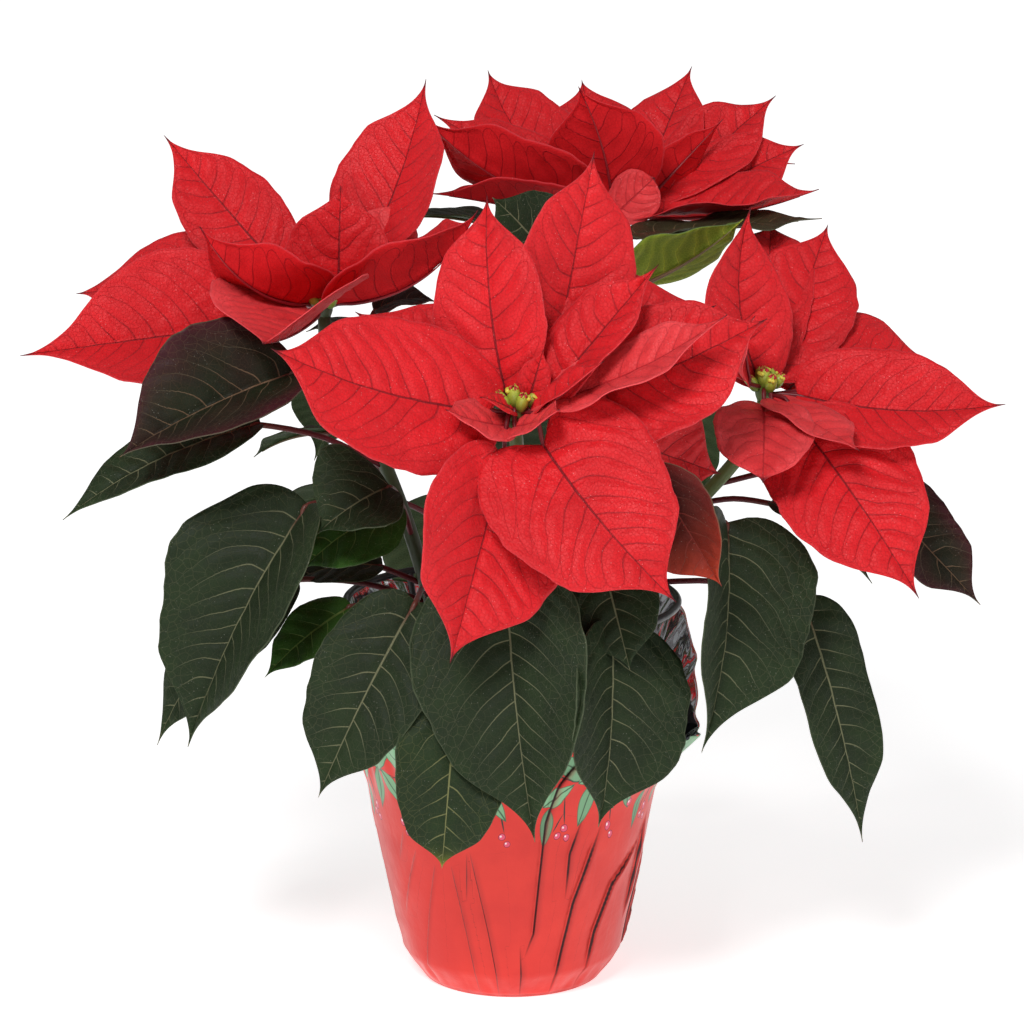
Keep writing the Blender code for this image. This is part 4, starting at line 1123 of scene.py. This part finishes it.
def blade_mesh(kind, where, blades, plain, quilt, seed):
    """The bracts or leaves of one place, from the joint, the tip and the table row of each."""
    bm = new_mesh(*BLADE_LAYERS)
    tints, ribbed, heels = [table[kind].get(where, {}) for table in (BLADE_TINTS, RIBBED, HEELS)]
    for index, (joint, tip, blade) in enumerate(blades):
        blade_sheet(bm, joint, tip, blade, tints.get(index, plain),
                    quilt / MM * ribbed.get(index, 1), heels.get(index, HEEL), seed + index)
    return bm


class AddBracts(Operator):
    """Adds the red bracts of the four blooms, with quilting and veins"""
    bl_idname = "poinsettia.add_bracts"
    bl_label = "Bracts"

    def execute(self, context):
        sizes = context.scene.plant_sizes
        finishes = [bract_top(), bract_under()]
        for where in BLOOM_CENTRES:
            blades = [(*bract_joint(where, bract)[1:], bract) for bract in BRACTS[where]]
            bm = blade_mesh("bracts", where, blades, "red", sizes.bract_quilt, SEEDS[where])
            piece = add_piece(where + "_bracts", bm, finishes, "bracts_" + where)
            thicken(piece, sizes.blade_thickness, 0)
        return {"FINISHED"}


class AddBractStalks(Operator):
    """Adds the stalks and cores that carry the bracts"""
    bl_idname = "poinsettia.add_bract_stalks"
    bl_label = "Bract stalks"

    def execute(self, context):
        finish = stalk_finish()
        red, under = (0.16, 0.006, 0.012), (0.34, 0.010, 0.016)
        for where in BLOOM_CENTRES:
            bm = new_mesh("body")
            for bract in BRACTS[where]:
                start, joint, tip = bract_joint(where, bract)
                stalk_rod(bm, start, joint, tip, BRACT_STALK_R, bract, red, under)
            centre = Vector(BLOOM_CENTRES[where])
            heights = (-CORE_DOWN + 0.3, -3.5, -1.0, 2.0, 3.8, CORE_UP)
            radii = (STEM_TOP_R, 4.1, CORE_R, CORE_R, 4.0, STEM_TOP_R)
            path = [centre + Vector((0, 0, height)) for height in heights]
            rod(bm, path, radii, STEM_SIDES, [STEM_TINTS[where]] * len(path))
            add_piece(where + "_bract_stalks", bm, [finish], "bracts_" + where)
        return {"FINISHED"}


class AddLeaves(Operator):
    """Adds the leaves of the five stems, with quilting and pale veins"""
    bl_idname = "poinsettia.add_leaves"
    bl_label = "Leaves"

    def execute(self, context):
        sizes = context.scene.plant_sizes
        finishes = [leaf_top(), leaf_under()]
        for where in STEMS:
            blades = [(Vector(leaf.joint), Vector(leaf.tip), leaf) for leaf in LEAVES[where]]
            bm = blade_mesh("leaves", where, blades, "green", sizes.leaf_quilt, SEEDS[where] + 20)
            piece = add_piece(where + "_leaves", bm, finishes, "leafy_stem_" + where)
            thicken(piece, sizes.blade_thickness, 0)
        return {"FINISHED"}


class AddStems(Operator):
    """Adds the stems and the leaf stalks"""
    bl_idname = "poinsettia.add_stems"
    bl_label = "Stems"

    def execute(self, context):
        finish = stalk_finish()
        stalk, rib = (0.12, 0.008, 0.014), (0.20, 0.18, 0.08)
        for where in STEMS:
            bm = new_mesh("body")
            path = stem_path(where)
            for leaf in LEAVES[where]:
                start = on_stem(path, leaf.root_z)
                stalk_rod(bm, start, Vector(leaf.joint), Vector(leaf.tip), LEAF_STALK_R, leaf,
                          stalk, rib)
            count = len(path) - 1
            radii = [STEM_R + (STEM_TOP_R - STEM_R) * index / count for index in range(count + 1)]
            rod(bm, path, radii, STEM_SIDES, [STEM_TINTS[where]] * len(path))
            add_piece(where + "_stem", bm, [finish], "leafy_stem_" + where)
        return {"FINISHED"}


class AddCyathia(Operator):
    """Adds the clusters of small cups in the middle of the blooms"""
    bl_idname = "poinsettia.add_cyathia"
    bl_label = "Cyathia"

    def execute(self, context):
        finish = cup_finish()
        green, lime, red = (0.15, 0.24, 0.025), (0.46, 0.52, 0.06), (0.50, 0.015, 0.03)
        for where in BLOOM_CENTRES:
            draw = random.Random(SEEDS[where])
            seat = Vector(BLOOM_CENTRES[where]) + Vector((0, 0, CORE_UP - 2.0))
            bm = new_mesh("body")
            path = [seat + Vector((0, 0, height)) for radius, height in CUSHION]
            tube(bm, path, [radius for radius, height in CUSHION], 20, [green] * len(path),
                 Vector((0, 0, 1)))
            for out, bearing, tilt, size, drop in CUPS:
                bearing += draw.uniform(-8, 8)
                foot = seat + toward(bearing, out, 2.0 - drop)
                lean = math.radians(tilt + draw.uniform(-4, 4))
                axis = toward(bearing, math.sin(lean), math.cos(lean))
                path = [foot + axis * height * size for radius, height in CUP_BODY]
                top = CUP_BODY[-1][1]
                tints = [blend_colours(green, lime, min(1, max(0, height / top))) if radius > 1.75
                         or height < 4 else red for radius, height in CUP_BODY]
                tube(bm, path, [radius * size for radius, height in CUP_BODY], 18, tints, axis)
                away = toward(bearing + draw.choice((-70, -40, 60)), 1)
                self.add_gland(bm, foot, axis, away, size)
                self.add_fringe(bm, foot, axis, size, draw, red, lime)
            add_piece(where + "_cyathia", bm, [finish], "cyathia_" + where)
        return {"FINISHED"}

    def add_gland(self, bm, foot, axis, away, size):
        """A thick two-lobed yellow lip near the mouth of a cup."""
        yellow = (0.72, 0.66, 0.08)
        away = (away - away.dot(axis) * axis).normalized()
        along = axis.cross(away)
        middle = foot + axis * 5.6 * size + away * 2.1 * size
        path = [middle + along * x * size + away * (0.5 - 0.2 * x * x) * size
                for x in (-1.5, -1.1, -0.6, 0.0, 0.6, 1.1, 1.5)]
        rod(bm, path, [r * size for r in (0.5, 0.9, 1.0, 0.75, 1.0, 0.9, 0.5)], 12, [yellow] * 7)

    def add_fringe(self, bm, foot, axis, size, draw, red, lime):
        """Fringed lobes that close over a cup's mouth, and a few stamens."""
        side = axis.orthogonal().normalized()
        for index in range(10):
            turn = Matrix.Rotation(math.tau * index / 10 + draw.uniform(-0.2, 0.2), 3, axis)
            out = turn @ side
            base = foot + (axis * 6.1 + out * 1.75) * size
            inward = out * -draw.uniform(0.5, 1.1)
            path = [base, base + (axis * 0.7 + inward * 0.4) * size,
                    base + (axis * draw.uniform(1.0, 1.5) + inward) * size]
            tint = red if index % 3 else lime
            rod(bm, path, [0.46 * size, 0.44 * size, 0.2 * size], 7, [tint] * 3)
        for index in range(3):
            turn = Matrix.Rotation(math.tau * index / 3 + draw.uniform(-0.4, 0.4), 3, axis)
            out = turn @ side
            base = foot + (axis * 5.9 + out * 0.5) * size
            end = base + (axis * draw.uniform(1.0, 1.6) + out * draw.uniform(0.1, 0.4)) * size
            rod(bm, [base, base.lerp(end, 0.5), end, end + axis * 0.3], [0.16, 0.15, 0.34, 0.3], 6,
                [red, red, (0.6, 0.25, 0.05), (0.6, 0.25, 0.05)])


def pot_radius(height):
    """Outer radius of the pot's wall above its heel."""
    return POT_HEEL_R + POT_SLOPE * (height - POT_HEEL_H)


def turned(bm, profile, sides):
    """A profile of (radius, height) points spun round the axis, with its poles merged."""
    corners = [bm.verts.new((radius, 0, height)) for radius, height in profile]
    edges = [bm.edges.new(pair) for pair in zip(corners, corners[1:])]
    if profile[0][0] > 0 and profile[-1][0] > 0:
        edges.append(bm.edges.new((corners[-1], corners[0])))
    spin_round(bm, corners + edges, sides)
    bmesh.ops.remove_doubles(bm, verts=bm.verts, dist=0.001)
    bmesh.ops.recalc_face_normals(bm, faces=bm.faces)


class AddPot(Operator):
    """Adds the plastic pot with its banded rim"""
    bl_idname = "poinsettia.add_pot"
    bl_label = "Pot"

    def execute(self, context):
        finish = black_plastic(context.scene.plant_colours)
        band = POT_HEIGHT - LIP_BAND
        top = band - 2
        profile = (
            (0, POT_BASE), (POT_BOTTOM_R - 1, POT_BASE), (POT_BOTTOM_R, POT_BASE + 0.4),
            (POT_HEEL_R - 0.3, POT_HEEL_H - 0.6), (POT_HEEL_R, POT_HEEL_H),
            (pot_radius(60), 60), (pot_radius(100), 100), (pot_radius(top), top),
            (LIP_R - 1.2, band - 0.4), (LIP_R - 0.8, band), (LIP_R - 0.1, POT_HEIGHT - 1.2),
            (LIP_R, POT_HEIGHT - 0.4), (LIP_R - 0.5, POT_HEIGHT), (LIP_R - 1.2, POT_HEIGHT),
            (LIP_R - 1.6, POT_HEIGHT - 0.4), (LIP_R - 3.0, band),
            (pot_radius(top) - POT_WALL, top - 1), (pot_radius(100) - POT_WALL, 100),
            (pot_radius(60) - POT_WALL, 60), (POT_HEEL_R - POT_WALL, POT_HEEL_H + 1),
            (POT_BOTTOM_R - POT_WALL, POT_BASE + POT_FLOOR), (0, POT_BASE + POT_FLOOR),
        )
        bm = bmesh.new()
        turned(bm, profile, POT_SIDES)
        add_piece("plastic_pot", bm, [finish], "nursery_pot")
        return {"FINISHED"}


class AddRing(Operator):
    """Adds the ring that holds the stems, on its legs"""
    bl_idname = "poinsettia.add_ring"
    bl_label = "Support ring"

    def execute(self, context):
        finish = black_plastic(context.scene.plant_colours)
        bm = bmesh.new()
        upright = Matrix.Rotation(math.pi / 2, 4, "X")
        bmesh.ops.create_circle(bm, segments=RING_SIDES, radius=RING_ROD_R,
                                matrix=Matrix.Translation((RING_R, 0, RING_Z)) @ upright)
        spin_round(bm, bm.verts[:] + bm.edges[:], RING_STEPS)
        bmesh.ops.recalc_face_normals(bm, faces=bm.faces)
        for bearing in RING_LEG_BEARINGS:
            top = toward(bearing, RING_R, RING_Z)
            foot = toward(bearing, RING_LEG_FOOT_R, RING_LEG_FOOT_Z)
            places = [top.lerp(foot, share) for share in (0.0, 0.04, 0.08, 0.5, 0.96, 1.0)]
            rod(bm, places, [1.9, 2.3, RING_LEG_R, RING_LEG_R, RING_LEG_R, 1.2], RING_SIDES)
        add_piece("stem_ring", bm, [finish], "support_ring")
        return {"FINISHED"}


class AddSoil(Operator):
    """Adds the soil, crumbly on top"""
    bl_idname = "poinsettia.add_soil"
    bl_label = "Soil"

    def execute(self, context):
        sizes = context.scene.plant_sizes
        finish = peat(context.scene.plant_colours)
        inner = POT_WALL + SOIL_EASE
        edge = SOIL_TOP - 1
        bottom = POT_BASE + POT_FLOOR + 0.3
        rim = pot_radius(edge) - inner
        profile = [(0, bottom), (POT_BOTTOM_R - inner, bottom), (POT_HEEL_R - inner, POT_HEEL_H + 1.3),
                   (rim, edge - 0.5)]
        for index in range(1, SOIL_RINGS + 1):
            share = index / SOIL_RINGS
            profile.append((rim * (1 - share), edge + (SOIL_CROWN + 1) * share ** 0.5))
        bm = bmesh.new()
        turned(bm, profile, SOIL_SIDES)
        for corner in bm.verts:
            if corner.co.z > edge - 0.2:
                corner.co.z += SOIL_LUMP * noise.fractal(corner.co / 7, 1.0, 2.2, 5)
        draw = random.Random(5)
        for index in range(sizes.crumbs):
            radius = rim * math.sqrt(draw.random()) * 0.97
            place = toward(draw.uniform(0, 360), radius, 0)
            height = edge + (SOIL_CROWN + 1) * (1 - radius / rim) ** 0.5
            size = draw.uniform(*CRUMB_SIZES)
            made = bmesh.ops.create_icosphere(bm, subdivisions=1, radius=size)["verts"]
            squash = Matrix.Diagonal((draw.uniform(0.7, 1.3), draw.uniform(0.7, 1.2), 0.7, 1))
            for corner in made:
                corner.co += Vector([draw.uniform(-0.2, 0.2) * size for axis in range(3)])
            move = Matrix.Translation((place.x, place.y, height))
            bmesh.ops.transform(bm, verts=made, matrix=move @ squash)
        add_piece("peat_soil", bm, [finish], "potting_soil")
        return {"FINISHED"}


def fold_mark(bearing, height):
    """How far folds move the foil out at a place, the nearest fold's distance and its strength, which
    sets how dark the painted shadow along that fold is.
    """
    push, nearest, strength = 0.0, FOLD_REACH, 0.0
    radius = COVER_CREASE_R + COVER_SLOPE * (height - COVER_CREASE_Z)
    for points, depth in ALL_FOLDS:
        top, bottom = points[0][1], points[-1][1]
        if not bottom - FOLD_PAST < height < top + FOLD_PAST:
            continue
        for (high_turn, high), (low_turn, low) in zip(points, points[1:]):
            if low <= height <= high or (height > high == top) or (height < low == bottom):
                share = (height - low) / (high - low)
                line = low_turn + (high_turn - low_turn) * share
                break
        fade = min(1, max(0, (top + FOLD_PAST - height) / FOLD_FADE),
                   max(0, (height - bottom + FOLD_PAST) / FOLD_FADE))
        away = ((bearing - line + 180) % 360 - 180) * math.pi / 180 * radius
        if abs(away) > FOLD_REACH:
            continue
        away = away if depth > 0 else -away
        rise = math.exp(-away / 10) if away > 0 else -0.55 * math.exp(away / 3.5)
        push += abs(depth) * fade * rise * min(1, abs(away) / 0.5)
        if abs(away) < abs(nearest):
            nearest, strength = away, fade
    return push, nearest, strength


def more_folds():
    """Seeded folds for the sides that the front view hides, of the same kind."""
    draw = random.Random(19)
    folds = list(FOLDS)
    bearing = 88
    while bearing < 272:
        top = draw.choice((70, 80, 90, 96, 104))
        bottom = draw.choice((8, 8, 14, 30))
        slant = draw.uniform(-14, 14)
        middle = (bearing + slant * 0.6 + draw.uniform(-2, 2), (top + bottom) / 2)
        depth = draw.uniform(1.0, 1.7) * draw.choice((1, 1, -1))
        folds.append((((bearing, top), middle, (bearing + slant, bottom)), depth))
        bearing += draw.uniform(9, 17)
    return folds


ALL_FOLDS = more_folds()


def collar_edge(bearing):
    height = round_loop([(turn, height) for turn, height, radius in COLLAR_EDGE], bearing)
    radius = round_loop([(turn, radius) for turn, height, radius in COLLAR_EDGE], bearing)
    return height, radius


def foil_place(bearing, share):
    """A place on the foil at a share of its slant height above the crease."""
    edge_z, edge_r = collar_edge(bearing)
    height = COVER_CREASE_Z + (edge_z - COVER_CREASE_Z) * share
    radius = COVER_CREASE_R + COVER_SLOPE * (height - COVER_CREASE_Z)
    if height > COLLAR_FROM:
        straight = COVER_CREASE_R + COVER_SLOPE * (edge_z - COVER_CREASE_Z)
        rise = (height - COLLAR_FROM) / (edge_z - COLLAR_FROM)
        radius += (edge_r - straight) * rise ** FLARE_POWER
        place = toward(bearing, 1, height / 160)
        ripple = 0.8 * math.sin(math.radians(bearing) * 38 + 3 * noise.noise(place * 5))
        radius += rise * (1.6 * noise.noise(place * 4) + 0.9 * noise.noise(place * 12) + ripple)
    push, away, strength = fold_mark(bearing, height)
    swell = 0.45 * noise.noise(toward(bearing, 3.2, height / 40))
    return toward(bearing, radius + push + swell, height), away, strength


class AddFoil(Operator):
    """Adds the foil cover, folded and creased, with a printed border"""
    bl_idname = "poinsettia.add_foil"
    bl_label = "Foil cover"

    def execute(self, context):
        sizes = context.scene.plant_sizes
        colours = context.scene.plant_colours
        rows = WALL_ROWS + CHAMFER_ROWS
        bm = bmesh.new()
        # The crease layer holds how dark the painted shadow along the nearest fold is
        crease = bm.verts.layers.float.new("crease")
        printed = bm.verts.layers.float_color.new("print")
        corners = [bm.verts.new((1, 0, row)) for row in range(rows + 1)]
        edges = [bm.edges.new(pair) for pair in zip(corners, corners[1:])]
        spin_round(bm, corners + edges, FOIL_STEPS)
        for corner in bm.verts:
            row = round(corner.co.z)
            turn = math.atan2(corner.co.x, -corner.co.y)
            bearing = math.degrees(turn - FRONT_SHARE * math.sin(turn)) % 360
            if row < CHAMFER_ROWS:
                share = row / CHAMFER_ROWS
                low = toward(bearing, COVER_BASE_R, 0.15)
                high, away, dark = foil_place(bearing, 0)
                crinkle = noise.noise(toward(bearing, 9, share)) * math.sin(share * math.pi)
                corner.co = low.lerp(high, share) + toward(bearing, 1.6 * crinkle, 0)
                dark *= share
            else:
                corner.co, away, dark = foil_place(bearing, (row - CHAMFER_ROWS) / WALL_ROWS)
            # dark is the strength of the painted shadow along the nearest fold
            corner[crease] = dark
            round_share = (bearing if bearing < 180 else bearing - 360) / 360
            corner[printed] = (round_share, corner.co.z, away, 1.0)
        base = [edge for edge in bm.edges if edge.is_boundary and edge.verts[0].co.z < 1]
        bmesh.ops.contextual_create(bm, geom=base)
        bmesh.ops.recalc_face_normals(bm, faces=bm.faces)
        finishes = [foil_outside(colours), foil_inside()]
        piece = add_piece("foil_wrap", bm, finishes, "foil_cover")
        thicken(piece, sizes.foil_thickness, -1)
        return {"FINISHED"}


def area_light(name, place, aim, size, power):
    light = bpy.data.lights.new(name, "AREA")
    light.shape = "DISK"
    light.size = size
    light.energy = power
    holder = bpy.data.objects.new(name, light)
    holder.location = place
    holder.rotation_euler = (Vector(aim) - Vector(place)).to_track_quat("-Z", "Y").to_euler()
    bpy.context.scene.collection.objects.link(holder)


class AddStage(Operator):
    """Adds the plain pale floor, the soft lights and the camera"""
    bl_idname = "poinsettia.add_stage"
    bl_label = "Stage"

    def execute(self, context):
        scene = context.scene
        half = scene.plant_sizes.floor_size / 2
        bm = bmesh.new()
        bmesh.ops.create_grid(bm, x_segments=8, y_segments=8, size=half / MM)
        floor = add_object("floor", bm, [floor_finish(scene.plant_colours)])

        world = bpy.data.worlds.new("studio")
        scene.world = world
        world.use_nodes = True
        backdrop = world.node_tree.nodes["Background"]
        backdrop.inputs["Color"].default_value = (1, 1, 1, 1)
        backdrop.inputs["Strength"].default_value = WORLD_LIGHT
        for light in LIGHTS:
            area_light(*light)

        lens = bpy.data.cameras.new("camera")
        lens.sensor_width = SENSOR
        lens.lens = FOCAL_PIXELS / PHOTO_PIXELS * SENSOR
        lens.clip_end = CLIP_END
        camera = bpy.data.objects.new("camera", lens)
        camera.location = CAMERA_PLACE
        camera.rotation_euler = (math.radians(CAMERA_TILT), 0, 0)
        scene.collection.objects.link(camera)
        scene.camera = camera
        scene.view_settings.view_transform = "Standard"
        return {"FINISHED"}


PIECES = (AddBracts, AddBractStalks, AddLeaves, AddStems, AddCyathia, AddPot, AddRing, AddSoil,
          AddFoil, AddStage)


class PoinsettiaPanel(Panel):
    """Lists the plant's pieces, sizes and colours"""
    bl_idname = "VIEW3D_PT_poinsettia"
    bl_label = "Poinsettia"
    bl_space_type = "VIEW_3D"
    bl_region_type = "UI"
    bl_category = "Poinsettia"

    def draw(self, context):
        scene = context.scene
        for group in (scene.plant_sizes, scene.plant_colours):
            for name in group.__annotations__:
                self.layout.prop(group, name)
        for piece in PIECES:
            self.layout.operator(piece.bl_idname)


CLASSES = (PlantSizes, PlantColours) + PIECES + (PoinsettiaPanel,)


def register():
    for each in CLASSES:
        bpy.utils.register_class(each)
    bpy.types.Scene.plant_sizes = PointerProperty(type=PlantSizes)
    bpy.types.Scene.plant_colours = PointerProperty(type=PlantColours)


def unregister():
    del bpy.types.Scene.plant_sizes
    del bpy.types.Scene.plant_colours
    for each in reversed(CLASSES):
        bpy.utils.unregister_class(each)


def main():
    register()
    bpy.ops.poinsettia.add_stage()
    bpy.ops.poinsettia.add_bracts()
    bpy.ops.poinsettia.add_bract_stalks()
    bpy.ops.poinsettia.add_leaves()
    bpy.ops.poinsettia.add_stems()
    bpy.ops.poinsettia.add_cyathia()
    bpy.ops.poinsettia.add_pot()
    bpy.ops.poinsettia.add_ring()
    bpy.ops.poinsettia.add_soil()
    bpy.ops.poinsettia.add_foil()


if __name__ == "__main__":
    main()
